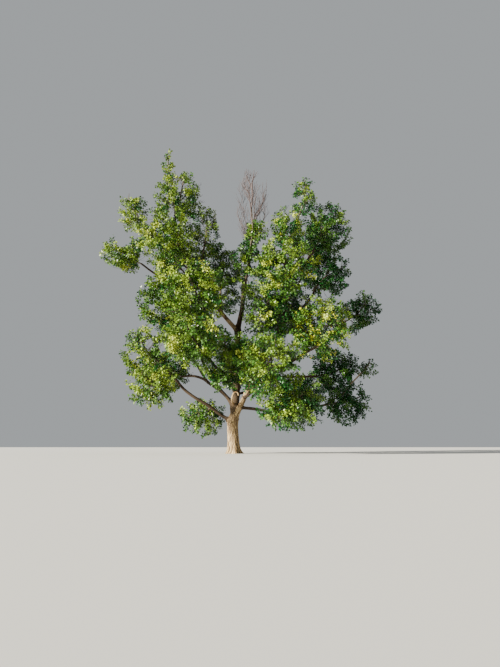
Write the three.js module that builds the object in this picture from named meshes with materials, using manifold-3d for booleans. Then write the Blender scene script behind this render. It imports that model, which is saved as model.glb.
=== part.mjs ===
// Eastern cottonwood, a broad open-grown poplar: 22.6 m tall and 20 m across, rooted in level ground.
// Units are millimetres. +Z is up, and the origin is the middle of the flat cut under the trunk. The tree is
// looked at along +Y: left and right in the names are as seen that way, and back is away from the viewer.
//
// One trunk forks low and runs on as a central stem with a dead, leafless top. Boughs leave it, each one a
// single tapering limb that ends where it enters a mass of foliage. Each mass is one stem with twigs and
// large leaves fused on, and each of those leaves stands for a whole spray of real ones.
import * as THREE from "three";
import { mergeVertices } from "three/addons/utils/BufferGeometryUtils.js";
import Module from "manifold-3d";

const wasm = await Module();
wasm.setup();
const { Manifold, Mesh: SolidMesh } = wasm;

// Trunk.
const TRUNK_RADIUS = 365; // below the fork, over the bark
const LEADER_RADIUS = 235; // just above the fork, where the trunk runs on as the central stem
const TRUNK_TIP_RADIUS = 75; // where the living wood stops and the dead top begins
const LEADER_TAPER = 1.6; // above 1 the central stem stays thick for longer
const FORK_HEIGHT = 2000;
const FLARE_RADIUS = 225; // how much the root flare adds at the ground
const FLARE_HEIGHT = 330; // height in which the flare falls to about a third
const BUTTRESSES = 5;
const BUTTRESS_DEPTH = 0.16; // as a share of the flared radius
const BELOW_CUT = 200; // trunk length that the flat ground cut takes off
const TRUNK_SIDES = 14;
const TRUNK_STEPS = 20;

// Boughs.
const BOUGH_SIDES = 6;
const BOUGH_STEPS = 6;
const CROOK = 0.018; // sideways wander of a limb, as a share of its length
const PIPE = 2.6; // the limbs' radii to this power add up, as in a bundle of pipes
const BOUGH_MOST = 190; // radius of the stoutest bough's foot
const BOUGH_ENDS_AT = 0.74; // share of its mass's own radius at which a bough stops
const TIP_SHARE = 0.9; // a bough's tip, as a share of the radius that its own mass alone asks for
const SEAT_GAP = 0.35; // clear space between a limb and what grows from it

// Foliage.
const CELL_GAP = 30; // clear space between neighbouring masses
const REACH_LIMIT = 1.02; // share of a mass's radius that no leaf may pass
const LOWEST_LEAF = 950; // nothing hangs nearer to the ground than this
const SPRAY_BASE = 520; // length of a spray's leaf in the smallest mass
const SPRAY_SHARE = 0.62; // what each millimetre of a mass's spread adds to that length
const SPRAY_ASPECT = 0.96; // a cottonwood leaf is about as wide as it is long
const SPRAY_THICKNESS = 0.035; // as a share of its length
const SPRAY_WIDEST = 0.4; // how far along it a leaf is widest
const TIP_SUNK = 9; // how far the root of a twig's last leaf lies inside the twig's end
const TWIG_DENSITY = 1.8; // twigs for each spray-sized square across the mass
const LEAVES_ON_TWIG = [1, 0.75, 0.5, 0.3]; // places along a twig, from its tip down
const TWIG_RISE = 0.8; // twigs leave the stem this far below their tip, per unit of reach
const BARE_TWIG_RISE = 2.2;
const TWIG_REACH = 0.46; // where a leafy twig ends, as a share of its mass's radius
const BARE_TWIG_REACH = 0.98;
const BARE_TWIGS = 15;
const TWIG_RADIUS = 36;
const TWIG_TIP_RADIUS = 24;
const STEM_MOST = 90; // radius of the stoutest stem's foot
const STEM_TIP_RADIUS = 55;
const STEM_REACH = 0.5; // where a stem ends, as a share of its mass's radius
const STEM_RISE = 0.6; // how much a stem turns upwards as it leaves its bough
const STEM_BOW = 0.05; // sag of a stem, as a share of its length
const STEM_SIDES = 4;
const STEM_STEPS = 2;
const TRIES = 12; // how often a twig or leaf is bent and drawn in before it is skipped

// Central line of the trunk, from below the ground cut to the end of its living wood.
const TRUNK_LINE = [
  [30, 0, -BELOW_CUT],
  [-20, 0, 1000],
  [-60, 0, FORK_HEIGHT],
  [140, 180, 3500],
  [230, 380, 6000],
  [260, 400, 8400],
  [520, 400, 9900],
  [700, 300, 11600],
  [1300, 150, 14600],
];

// Boughs: where each leaves its parent, as a share of the parent's length, the mass that it ends in, and how
// far its middle hangs below and outside the straight line. A negative sag is an arch.
const BOUGHS = {
  left_limb: { parent: "trunk", share: 0.15, mass: "left_lobe", sag: 270 },
  left_upper_limb: { parent: "trunk", share: 0.197, mass: "left_bank", sag: -780 },
  left_leader: { parent: "trunk", share: 0.57, mass: "left_spire", sag: 1200 },
  right_leader: { parent: "trunk", share: 0.143, mass: "right_spire", sag: 850 },
  left_front_limb: { parent: "trunk", share: 0.271, mass: "left_centre", sag: -300 },
  back_limb: { parent: "trunk", share: 0.158, mass: "back_centre_low", sag: -500 },
  back_left_limb: { parent: "trunk", share: 0.226, mass: "back_left_low", sag: 500 },
  left_heart_bough: { parent: "trunk", share: 0.406, mass: "left_heart", sag: 200 },
  back_right_bough: { parent: "trunk", share: 0.327, mass: "back_right_mid", sag: 600 },
  right_low_limb: { parent: "right_leader", share: 0.075, mass: "right_low_out", sag: 330 },
  right_front_limb: { parent: "right_leader", share: 0.12, mass: "right_front", sag: 150 },
  right_low_bough: { parent: "right_leader", share: 0.17, mass: "right_low", sag: -250 },
  right_out_limb: { parent: "right_leader", share: 0.25, mass: "right_arm", sag: 650 },
  right_heart_bough: { parent: "right_leader", share: 0.43, mass: "right_heart", sag: 150 },
  right_shoulder_bough: { parent: "right_leader", share: 0.48, mass: "right_shoulder", sag: 350 },
  back_right_high_bough: { parent: "right_leader", share: 0.58, mass: "back_right_high", sag: 300 },
  right_crest_bough: { parent: "right_leader", share: 0.66, mass: "right_crest_right", sag: 200 },
  right_yellow_bough: { parent: "right_out_limb", share: 0.42, mass: "right_yellow", sag: 150 },
  left_flank_bough: { parent: "left_upper_limb", share: 0.55, mass: "left_flank", sag: 250 },
  left_arm_bough: { parent: "left_leader", share: 0.2, mass: "left_arm", sag: 350 },
  left_shoulder_bough: { parent: "left_leader", share: 0.36, mass: "left_shoulder", sag: 350 },
  back_left_high_bough: { parent: "left_leader", share: 0.28, mass: "back_left_high", sag: 250 },
  back_right_low_bough: { parent: "back_limb", share: 0.4, mass: "back_right_low", sag: -150 },
};

// Masses of foliage: centre, half width and half height. "on" is where a mass grows straight from the side or
// the tip of a limb; the others sit on the tip of their own bough.
const MASSES = {
  left_spire: { at: [-5100, 500, 21000], spread: 600, height: 1750 },
  left_crest: { at: [-4100, 300, 18400], spread: 2100, height: 2200, on: ["left_leader", 0.78] },
  left_shoulder: { at: [-7350, -500, 16900], spread: 1150, height: 1850 },
  left_arm: { at: [-7950, 500, 14000], spread: 2000, height: 1500 },
  left_high: { at: [-4700, -1600, 14500], spread: 2350, height: 2350, on: ["left_leader", 0.46] },
  left_inner: { at: [-2200, 700, 15500], spread: 1750, height: 2800, on: ["left_leader", 0.4] },
  left_flank: { at: [-4650, -1500, 10000], spread: 2050, height: 2400 },
  left_heart: { at: [-2400, -3300, 10000], spread: 2450, height: 2400 },
  left_lobe: { at: [-5750, -1000, 6500], spread: 1950, height: 2150 },
  left_bank: { at: [-4900, 2700, 6100], spread: 2050, height: 1650 },
  left_skirt: { at: [-4700, -3900, 4000], spread: 1750, height: 1500, on: ["left_limb", 0.72] },
  left_centre: { at: [-2200, -5200, 6500], spread: 2250, height: 1800 },
  left_hanging: { at: [-2150, 1000, 2450], spread: 1800, height: 1500, on: ["left_limb", 0.3] },
  left_core: { at: [-1000, 2400, 12700], spread: 2200, height: 3200, on: ["left_leader", 0.16] },
  centre_heart: { at: [-300, -2900, 5700], spread: 2100, height: 2300, on: ["trunk", 0.316] },
  centre_column: { at: [1150, -900, 13200], spread: 1600, height: 4400, on: ["trunk", 0.79] },
  dead_top: { at: [1250, -500, 17400], spread: 1400, height: 2950, on: ["trunk", 0.99], bare: true },
  centre_front: { at: [2200, -2700, 8800], spread: 1850, height: 2400, on: ["right_leader", 0.29] },
  right_spire: { at: [4950, -1000, 17700], spread: 1050, height: 1800 },
  right_crest_left: { at: [3350, -1500, 14700], spread: 1700, height: 2250, on: ["right_leader", 0.66] },
  right_crest_right: { at: [6700, 300, 15900], spread: 1950, height: 2250 },
  right_heart: { at: [3300, -3300, 11600], spread: 2300, height: 2350 },
  right_shoulder: { at: [6750, 1000, 12700], spread: 2000, height: 2250 },
  right_arm: { at: [9000, 1200, 9850], spread: 1700, height: 1800 },
  right_yellow: { at: [5400, -3000, 7650], spread: 2450, height: 2450 },
  right_sprig: { at: [9100, 500, 5750], spread: 900, height: 800, on: ["right_low_limb", 0.97] },
  right_low: { at: [7300, 2000, 5600], spread: 2200, height: 2000 },
  right_low_out: { at: [7500, -500, 3200], spread: 1700, height: 1500 },
  right_skirt: { at: [3600, -3500, 2750], spread: 2350, height: 1600, on: ["right_low_limb", 0.36] },
  right_front: { at: [2200, -5300, 5000], spread: 2300, height: 2300 },
  back_left_low: { at: [-4100, 5300, 9800], spread: 2500, height: 2300 },
  back_left_high: { at: [-4700, 4500, 14500], spread: 2300, height: 2300 },
  back_centre_low: { at: [500, 5500, 6900], spread: 2300, height: 2500 },
  back_right_low: { at: [5000, 5700, 4500], spread: 2300, height: 1850 },
  back_right_mid: { at: [4200, 4700, 10700], spread: 2400, height: 2400 },
  back_right_high: { at: [6200, 3900, 16100], spread: 1900, height: 2000 },
};

const BARK_COLOUR = 0x9a8566;
const DEAD_COLOUR = 0x9b8f86;
const LEAF_COLOURS = { left: 0x6f8a35, centre: 0x4f7030, right: 0x7b9238, back: 0x46662c };

const UP = new THREE.Vector3(0, 0, 1);

// A repeatable random sequence from 0 to 1, started from a name.
function randomFrom(name) {
  let state = 7;
  for (const letter of name) {
    state = (Math.imul(state, 31) + letter.charCodeAt(0)) >>> 0;
  }
  return () => {
    state = (Math.imul(state, 1664525) + 1013904223) >>> 0;
    return state / 4294967296;
  };
}

// A closed three.js geometry as a manifold-3d solid.
function solidOf(geometry) {
  geometry.deleteAttribute("normal");
  geometry.deleteAttribute("uv");
  const merged = mergeVertices(geometry, 1e-3);
  const mesh = new SolidMesh({
    numProp: 3,
    vertProperties: new Float32Array(merged.attributes.position.array),
    triVerts: new Uint32Array(merged.index.array),
  });
  return new Manifold(mesh).asOriginal().simplify(0.01);
}

// A manifold-3d solid as a three.js geometry.
function geometryOf(solid) {
  const { vertProperties, triVerts } = solid.getMesh();
  const geometry = new THREE.BufferGeometry();
  geometry.setAttribute("position", new THREE.BufferAttribute(vertProperties, 3));
  geometry.setIndex(new THREE.BufferAttribute(triVerts, 1));
  geometry.computeVertexNormals();
  return geometry;
}

// The largest of the bodies that a cut leaves. Loose scraps are dropped.
function largest(solid) {
  return solid.decompose().sort((a, b) => b.volume() - a.volume())[0];
}

// A cylinder bent along a curve. radiusAt(share, angle) gives its radius, so it can taper and flare, and
// "grow" swells it evenly, its ends too.
function limbSolid(curve, radiusAt, sides, steps, grow = 0) {
  const geometry = new THREE.CylinderGeometry(1, 1, 1, sides, steps);
  const frames = frameCurve(curve, steps);
  const places = geometry.attributes.position;
  for (let i = 0; i < places.count; i++) {
    const share = places.getY(i) + 0.5;
    const frame = frames[Math.round(share * steps)];
    const angle = Math.atan2(places.getZ(i), places.getX(i));
    const onAxis = Math.hypot(places.getX(i), places.getZ(i)) < 0.5;
    const radius = onAxis ? 0 : radiusAt(share, angle) + grow;
    const endwise = share < 0.001 ? -grow : share > 0.999 ? grow : 0;
    const place = frame.place
      .clone()
      .addScaledVector(frame.tangent, endwise)
      .addScaledVector(frame.across, radius * Math.cos(angle))
      .addScaledVector(frame.along, radius * Math.sin(angle));
    places.setXYZ(i, place.x, place.y, place.z);
  }
  return solidOf(geometry);
}

// Places and cross directions along a curve, carried on from ring to ring so that the tube doesn't twist.
// The cylinder runs along +Y with its angle measured from X to Z, so "along" is turned to keep it facing out.
function frameCurve(curve, steps) {
  const frames = [];
  let across = new THREE.Vector3(1, 0, 0);
  for (let i = 0; i <= steps; i++) {
    const share = i / steps;
    const tangent = curve.getTangentAt(share);
    if (i === 0 && Math.abs(tangent.x) > 0.8) {
      across = new THREE.Vector3(0, 1, 0);
    }
    across = across.clone().addScaledVector(tangent, -across.dot(tangent)).normalize();
    const along = new THREE.Vector3().crossVectors(across, tangent).normalize();
    frames.push({ place: curve.getPointAt(share), tangent, across, along });
  }
  return frames;
}

const masses = Object.entries(MASSES).map(([name, given]) => ({
  name,
  ...given,
  centre: new THREE.Vector3(...given.at),
  radii: new THREE.Vector3(given.spread, given.spread, given.height),
}));
const massNamed = Object.fromEntries(masses.map((mass) => [mass.name, mass]));

// How far out of a mass a place is: 0 at its middle and 1 on its outside.
function depthIn(mass, place) {
  return place.clone().sub(mass.centre).divide(mass.radii).length();
}

// Each mass keeps to its own space, on its side of a flat boundary with every neighbour.
function boundaries(mass) {
  const size = (mass.spread + mass.height) / 2;
  return masses
    .filter((other) => other !== mass)
    .map((other) => {
      const away = other.centre.clone().sub(mass.centre);
      const distance = away.length();
      const otherSize = (other.spread + other.height) / 2;
      const reach = (distance * distance + size * size - otherSize * otherSize) / (2 * distance);
      return { away: away.normalize(), reach: reach - CELL_GAP / 2 };
    });
}

// How long a spray's leaf is in a mass, before it is drawn in to fit.
function sprayLength(mass) {
  return SPRAY_BASE + SPRAY_SHARE * mass.spread;
}

function insideCell(mass, place) {
  if (depthIn(mass, place) > REACH_LIMIT || place.z < LOWEST_LEAF) {
    return false;
  }
  const offset = place.clone().sub(mass.centre);
  return mass.walls.every((wall) => offset.dot(wall.away) < wall.reach);
}

function loadOf(mass) {
  return (mass.spread * mass.spread * mass.height) / 1e9;
}

// What a limb carries: its own mass, and those of all the limbs and stems that grow from it.
function carried(limbName) {
  let total = 0;
  for (const mass of masses) {
    if (mass.on && mass.on[0] === limbName) {
      total += loadOf(mass);
    }
  }
  if (BOUGHS[limbName]) {
    total += loadOf(massNamed[BOUGHS[limbName].mass]);
  }
  for (const [name, bough] of Object.entries(BOUGHS)) {
    if (bough.parent === limbName) {
      total += carried(name);
    }
  }
  return total;
}

const wholeCrown = carried("trunk");

function pipeRadius(load) {
  return TRUNK_RADIUS * (load / wholeCrown) ** (1 / PIPE);
}

// A limb's central line: straight from foot to tip, bowed by its sag, with a small seeded wander.
function limbCurve(name, foot, tip, sag) {
  const random = randomFrom(name);
  const chord = tip.clone().sub(foot);
  const length = chord.length();
  const way = chord.clone().normalize();
  const below = UP.clone().negate().addScaledVector(way, UP.dot(way)).normalize();
  const beside = new THREE.Vector3().crossVectors(way, below);
  const phaseBelow = random() * Math.PI * 2;
  const phaseBeside = random() * Math.PI * 2;
  const points = [];
  for (let i = 0; i <= BOUGH_STEPS; i++) {
    const share = i / BOUGH_STEPS;
    const held = Math.sin(Math.PI * share);
    const bow = 4 * share * (1 - share) * sag;
    const wander = held * CROOK * length;
    points.push(
      foot
        .clone()
        .addScaledVector(way, share * length)
        .addScaledVector(below, bow + wander * Math.sin(share * 9 + phaseBelow))
        .addScaledVector(beside, wander * Math.sin(share * 8 + phaseBeside)),
    );
  }
  return new THREE.CatmullRomCurve3(points);
}

// The trunk's radius at a share of its length: root flare with buttresses, then an even taper.
function trunkRadius(share, angle) {
  const height = share * trunkLength - BELOW_CUT;
  const above = Math.max(0, height - FORK_HEIGHT) / (trunkLength - BELOW_CUT - FORK_HEIGHT);
  const forked = THREE.MathUtils.smoothstep(height, FORK_HEIGHT - 100, FORK_HEIGHT + 700);
  const butt = THREE.MathUtils.lerp(TRUNK_RADIUS, LEADER_RADIUS, forked);
  const tapered = butt - (LEADER_RADIUS - TRUNK_TIP_RADIUS) * above ** LEADER_TAPER;
  const flare = FLARE_RADIUS * Math.exp(-Math.max(0, height) / FLARE_HEIGHT);
  const lobes = 1 + BUTTRESS_DEPTH * (flare / FLARE_RADIUS) * Math.cos(BUTTRESSES * angle);
  return (tapered + flare) * lobes;
}

// All the limbs by name, parents first, each with its curve and its radius along it.
const limbs = {};

function addLimb(name, curve, radiusAt, sides, steps) {
  const plain = limbSolid(curve, radiusAt, sides, steps);
  const grown = limbSolid(curve, radiusAt, sides, steps, SEAT_GAP);
  limbs[name] = { curve, radiusAt, plain, grown };
}

const trunk = new THREE.CatmullRomCurve3(TRUNK_LINE.map((point) => new THREE.Vector3(...point)));
const trunkLength = trunk.getLength();
addLimb("trunk", trunk, trunkRadius, TRUNK_SIDES, TRUNK_STEPS);
limbs.trunk.plain = limbs.trunk.plain.trimByPlane([0, 0, 1], 0);

for (const [name, { parent, share, mass: massName, sag }] of Object.entries(BOUGHS)) {
  const from = limbs[parent];
  const foot = from.curve.getPointAt(share);
  const mass = massNamed[massName];
  const out = foot.clone().sub(mass.centre);
  const tip = mass.centre.clone().addScaledVector(out, BOUGH_ENDS_AT / depthIn(mass, foot));
  const footRadius = Math.min(pipeRadius(carried(name)), BOUGH_MOST, 0.85 * from.radiusAt(share, 0));
  const tipRadius = Math.min(pipeRadius(loadOf(mass)) * TIP_SHARE, footRadius * 0.8);
  const radiusAt = (along) => THREE.MathUtils.lerp(footRadius, tipRadius, along);
  addLimb(name, limbCurve(name, foot, tip, sag), radiusAt, BOUGH_SIDES, BOUGH_STEPS);
}

// Every limb is cut clear of those before it, so each meets its parent face to face with the seat gap.
const pieces = new Map();
let taken = limbs.trunk.grown;
pieces.set("trunk", limbs.trunk.plain);
for (const name of Object.keys(BOUGHS)) {
  pieces.set(name, largest(limbs[name].plain.subtract(taken)));
  taken = taken.add(limbs[name].grown);
}

// Each mass's stem starts inside its limb, is cut clear of it, and runs up through the mass.
for (const mass of masses) {
  mass.walls = boundaries(mass);
  const boughName = Object.keys(BOUGHS).find((name) => BOUGHS[name].mass === mass.name);
  const [limbName, share] = mass.on ?? [boughName, 0.985];
  const limb = limbs[limbName];
  const foot = limb.curve.getPointAt(share);
  const way = mass.centre.clone().sub(foot).normalize().addScaledVector(UP, STEM_RISE).normalize();
  const head = mass.centre.clone().add(way.multiply(mass.radii).multiplyScalar(STEM_REACH));
  const footRadius = Math.min(limb.radiusAt(share, 0) * 0.8, STEM_MOST);
  mass.stemCurve = limbCurve(mass.name, foot, head, foot.distanceTo(head) * STEM_BOW);
  const radiusAt = (along) => THREE.MathUtils.lerp(footRadius, STEM_TIP_RADIUS, along);
  const plain = limbSolid(mass.stemCurve, radiusAt, STEM_SIDES, STEM_STEPS);
  mass.stem = largest(plain.subtract(taken));
  mass.grownStem = limbSolid(mass.stemCurve, radiusAt, STEM_SIDES, STEM_STEPS, SEAT_GAP * 2);
  taken = taken.add(mass.grownStem);
}

// One leaf: an octahedron drawn out to a broad blade, root at -X, widest a third of the way along.
function leafSolid(root, way, face, length) {
  const geometry = new THREE.OctahedronGeometry(1);
  const across = new THREE.Vector3().crossVectors(face, way).normalize();
  const normal = new THREE.Vector3().crossVectors(way, across).normalize();
  const places = geometry.attributes.position;
  const corners = [];
  for (let i = 0; i < places.count; i++) {
    const x = places.getX(i);
    const along = x > 0.5 ? 1 : x < -0.5 ? 0 : SPRAY_WIDEST;
    const place = root
      .clone()
      .addScaledVector(way, along * length)
      .addScaledVector(across, places.getY(i) * length * SPRAY_ASPECT * 0.5)
      .addScaledVector(normal, places.getZ(i) * length * SPRAY_THICKNESS * 0.5);
    places.setXYZ(i, place.x, place.y, place.z);
    corners.push(place);
  }
  return { solid: solidOf(geometry), corners };
}

// Points spread evenly over a ball, by the golden angle.
function evenDirection(index, count, turn) {
  const z = 1 - (2 * index + 1) / count;
  const angle = index * Math.PI * (3 - Math.sqrt(5)) + turn;
  const flat = Math.sqrt(1 - z * z);
  return new THREE.Vector3(flat * Math.cos(angle), flat * Math.sin(angle), z);
}

// A twig's line from the stem to its tip. A bare one shows its bow, and one among leaves is straight.
function twigCurve(mass, tip, leaveAt) {
  const foot = mass.stemCurve.getPointAt(leaveAt);
  const middle = foot.clone().lerp(tip, 0.5);
  middle.z -= (mass.bare ? 0.12 : 0) * foot.distanceTo(tip);
  return new THREE.QuadraticBezierCurve3(foot, middle, tip);
}

// The share of the stem that a twig leaves from, so that it rises to its tip.
function leavingShare(mass, tip) {
  const foot = mass.stemCurve.getPoint(0);
  const head = mass.stemCurve.getPoint(1);
  const axis = head.clone().sub(foot);
  const length = axis.length();
  axis.normalize();
  const offset = tip.clone().sub(foot);
  const up = offset.dot(axis);
  const out = Math.sqrt(Math.max(0, offset.lengthSq() - up * up));
  const rise = mass.bare ? BARE_TWIG_RISE : TWIG_RISE;
  return THREE.MathUtils.clamp((up - out * rise) / length, mass.entry, 0.94);
}

// A leaf rooted at a place and growing one way, as large as fits: it keeps to the mass's space and touches
// nothing but the twig or stem it grows from. Null where even a small one doesn't fit.
function fitLeaf(mass, grown, own, obstacles, root, way, spread, random) {
  const swing = () => random() * 2 - 1;
  const wander = (amount) => new THREE.Vector3(swing(), swing(), swing()).multiplyScalar(amount);
  const outward = root.clone().sub(mass.centre).divide(mass.radii).normalize();
  for (let attempt = 0; attempt < TRIES; attempt++) {
    const bent = way.clone().normalize().add(wander(spread + 0.06 * attempt)).normalize();
    const length = sprayLength(mass) * (1 - 0.05 * attempt);
    const leaf = leafSolid(root, bent, outward.clone().add(wander(0.6)), length);
    const roomy = leaf.corners.every((corner) => insideCell(mass, corner));
    if (!roomy || !leaf.solid.intersect(obstacles).isEmpty()) {
      continue;
    }
    if (grown.every((part) => part === own || leaf.solid.intersect(part).isEmpty())) {
      return leaf.solid;
    }
  }
  return null;
}

// A twig in one direction from the mass's middle, drawn in until it has room. Null where it has none.
function fitTwig(mass, grown, obstacles, direction) {
  for (let attempt = 0; attempt < TRIES; attempt++) {
    const reach = (mass.bare ? BARE_TWIG_REACH : TWIG_REACH) * (1 - 0.08 * attempt);
    const tip = mass.centre.clone().add(direction.clone().multiply(mass.radii).multiplyScalar(reach));
    const curve = twigCurve(mass, tip, leavingShare(mass, tip));
    if (!insideCell(mass, tip) || !insideCell(mass, curve.getPointAt(0.5))) {
      continue;
    }
    const radiusAt = (along) => THREE.MathUtils.lerp(TWIG_RADIUS, TWIG_TIP_RADIUS, along);
    const solid = limbSolid(curve, radiusAt, 3, mass.bare ? 2 : 1);
    const onlyOnStem = grown.slice(1).every((part) => solid.intersect(part).isEmpty());
    if (onlyOnStem && solid.intersect(obstacles).isEmpty()) {
      return { curve, solid };
    }
  }
  return null;
}

// Where a leaf is rooted, just inside the end of a twig or stem.
function endOf(curve) {
  return curve.getPointAt(1).addScaledVector(curve.getTangentAt(1), -TIP_SUNK);
}

// The stem with its twigs, and the leaves on them, as one solid.
function growMass(mass, obstacles) {
  const random = randomFrom(mass.name);
  const crowding = (mass.spread * mass.height) / sprayLength(mass) ** 2;
  const count = mass.bare ? BARE_TWIGS : Math.round(TWIG_DENSITY * crowding) + 1;
  const turn = random() * Math.PI * 2;
  const grown = [mass.stem];
  mass.entry = 0.15;
  while (mass.entry < 0.6 && depthIn(mass, mass.stemCurve.getPointAt(mass.entry)) > 0.95) {
    mass.entry += 0.05;
  }
  const addLeaf = (own, root, way, spread) => {
    const leaf = fitLeaf(mass, grown, own, obstacles, root, way, spread, random);
    if (leaf) {
      grown.push(leaf);
    }
  };
  if (!mass.bare) {
    addLeaf(mass.stem, endOf(mass.stemCurve), mass.stemCurve.getTangentAt(1).add(UP), 0.1);
  }
  for (let i = 0; i < count; i++) {
    const direction = evenDirection(i, count, turn);
    if (mass.bare) {
      direction.z = Math.abs(direction.z);
    }
    const twig = fitTwig(mass, grown, obstacles, direction);
    if (!twig) {
      continue;
    }
    grown.push(twig.solid);
    if (mass.bare) {
      continue;
    }
    const tangent = twig.curve.getTangentAt(1);
    const side = new THREE.Vector3().crossVectors(tangent, UP).normalize();
    LEAVES_ON_TWIG.forEach((along, k) => {
      const root = endOf(twig.curve).lerp(twig.curve.getPointAt(0), 1 - along);
      const way = tangent.clone().multiplyScalar(k ? 0.45 : 0.6).addScaledVector(UP, 0.12);
      way.addScaledVector(k ? side : direction, k % 2 ? -1 : 1);
      addLeaf(twig.solid, root, way, k ? 0.25 : 0.1);
    });
  }
  return largest(Manifold.union(grown)).asOriginal().simplify(0.1);
}

// No mass touches a limb or another mass's stem.
for (const mass of masses) {
  const stems = masses.filter((other) => other !== mass).map((other) => other.grownStem);
  const wood = Object.values(limbs).map((limb) => limb.grown);
  pieces.set(mass.name, growMass(mass, Manifold.union([...wood, ...stems])));
}

// The sunny left, the shaded back and the yellowing right each have their own green.
function colourOf(mass) {
  if (!mass) {
    return BARK_COLOUR;
  }
  if (mass.bare) {
    return DEAD_COLOUR;
  }
  const [across, deep] = mass.at;
  if (deep > 3500) {
    return LEAF_COLOURS.back;
  }
  return Math.abs(across) < 1600 ? LEAF_COLOURS.centre : across < 0 ? LEAF_COLOURS.left : LEAF_COLOURS.right;
}

const tree = new THREE.Group();
for (const [name, solid] of pieces) {
  const mass = massNamed[name];
  const roughness = mass ? 0.6 : 0.9;
  const material = new THREE.MeshStandardMaterial({ color: colourOf(mass), roughness, metalness: 0 });
  const piece = new THREE.Mesh(geometryOf(solid), material);
  piece.name = mass && !mass.bare ? "foliage_" + name : name;
  tree.add(piece);
}

export default tree;
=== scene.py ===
# %% [markdown]
# # A broad cottonwood, grown twig by twig
#
# The object is one open-grown cottonwood of about 22 m: a short furrowed trunk that forks low, long boughs,
# and about three dozen separate masses of foliage with daylight between them. The top of the middle stem is
# dead. The script loads the tree's fixed frame, which holds the trunk, the boughs and one plain solid for
# each mass, and dresses it: bark with real furrows, finer twigs, and about 130,000 leaves a little over
# true size. Every length is in metres, +Z is up, and the viewer of the photograph looks along +Y.

# %% Load the frame
import math

import bpy
import numpy as np
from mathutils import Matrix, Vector


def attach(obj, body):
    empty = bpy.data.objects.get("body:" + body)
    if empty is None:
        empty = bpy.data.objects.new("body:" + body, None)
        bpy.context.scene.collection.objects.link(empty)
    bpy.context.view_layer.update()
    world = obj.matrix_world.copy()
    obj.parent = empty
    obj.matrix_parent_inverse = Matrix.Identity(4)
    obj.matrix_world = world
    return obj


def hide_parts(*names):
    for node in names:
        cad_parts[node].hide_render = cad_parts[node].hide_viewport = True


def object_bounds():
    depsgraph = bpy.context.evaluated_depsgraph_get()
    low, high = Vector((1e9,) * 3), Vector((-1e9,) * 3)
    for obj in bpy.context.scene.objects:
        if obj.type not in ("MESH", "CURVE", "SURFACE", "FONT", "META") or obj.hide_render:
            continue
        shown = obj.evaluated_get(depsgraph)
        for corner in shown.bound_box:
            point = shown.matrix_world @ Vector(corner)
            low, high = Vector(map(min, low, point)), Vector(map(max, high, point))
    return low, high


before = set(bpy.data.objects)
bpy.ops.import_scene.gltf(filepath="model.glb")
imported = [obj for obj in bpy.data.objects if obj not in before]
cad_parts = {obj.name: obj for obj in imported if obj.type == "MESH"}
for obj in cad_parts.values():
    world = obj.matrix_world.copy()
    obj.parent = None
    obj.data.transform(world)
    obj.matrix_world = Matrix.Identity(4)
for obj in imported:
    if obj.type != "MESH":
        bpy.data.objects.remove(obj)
CAD_LOW, CAD_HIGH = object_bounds()
MM = 0.001
FULL_TURN = 2 * math.pi
UP = np.array([0.0, 0.0, 1.0])
print("frame:", len(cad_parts), "solids,", round(CAD_HIGH.z - CAD_LOW.z, 2), "m high")

# %% [markdown]
# ## The eye
#
# A tree is judged first by its outline, so the camera comes first. The photograph was taken with a phone
# held near the ground: its field of view, its height and its upward tilt decide how much taller the low
# boughs look than the top. A real lens could be matched by eye, but working the view out from the picture's
# size in pixels keeps one set of numbers for the camera and for asking where a place in the crown is seen.

# %% Place the camera
PICTURE_WIDTH, PICTURE_HEIGHT = 500, 667
FOCAL_PIXELS = 500.0
EYE = np.array([1.09, -33.7, 0.55])
TILT = math.radians(12.57)
SENSOR = 36.0  # millimetres along the picture's longer side
FARTHEST_SEEN = 400


def set_in_scene(name, data):
    """A new object that holds the data, placed in the scene."""
    thing = bpy.data.objects.new(name, data)
    bpy.context.scene.collection.objects.link(thing)
    return thing


def seen_at(places):
    """Where places in the crown appear in the picture, in its pixels."""
    offset = np.asarray(places) - EYE
    depth = offset[..., 1] * math.cos(TILT) + offset[..., 2] * math.sin(TILT)
    rise = offset[..., 2] * math.cos(TILT) - offset[..., 1] * math.sin(TILT)
    across = PICTURE_WIDTH / 2 + FOCAL_PIXELS * offset[..., 0] / depth
    down = PICTURE_HEIGHT / 2 - FOCAL_PIXELS * rise / depth
    return np.stack([across, down], -1)


lens = bpy.data.cameras.new("phone")
lens.sensor_width = SENSOR
lens.lens = FOCAL_PIXELS * SENSOR / PICTURE_HEIGHT
lens.clip_end = FARTHEST_SEEN
camera = set_in_scene("camera", lens)
camera.location = EYE
camera.rotation_euler = (math.pi / 2 + TILT, 0, 0)
bpy.context.scene.camera = camera
print("lens", round(lens.lens, 2), "mm; trunk foot seen at", seen_at([0, 0, 0]).round(1))

# %% [markdown]
# ## The tree's own rule
#
# A tree is one shape repeated: a limb leaves its parent, tapers, and carries smaller ones. The solids were
# grown by such a rule, and this script grows on from them, so it starts from the same sizes: the trunk's
# centre line, each bough's parent and the mass that it feeds, and each mass's middle and size. Drawing
# every twig by hand could match a picture from one side only. A rule gives all sides the same care.

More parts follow.
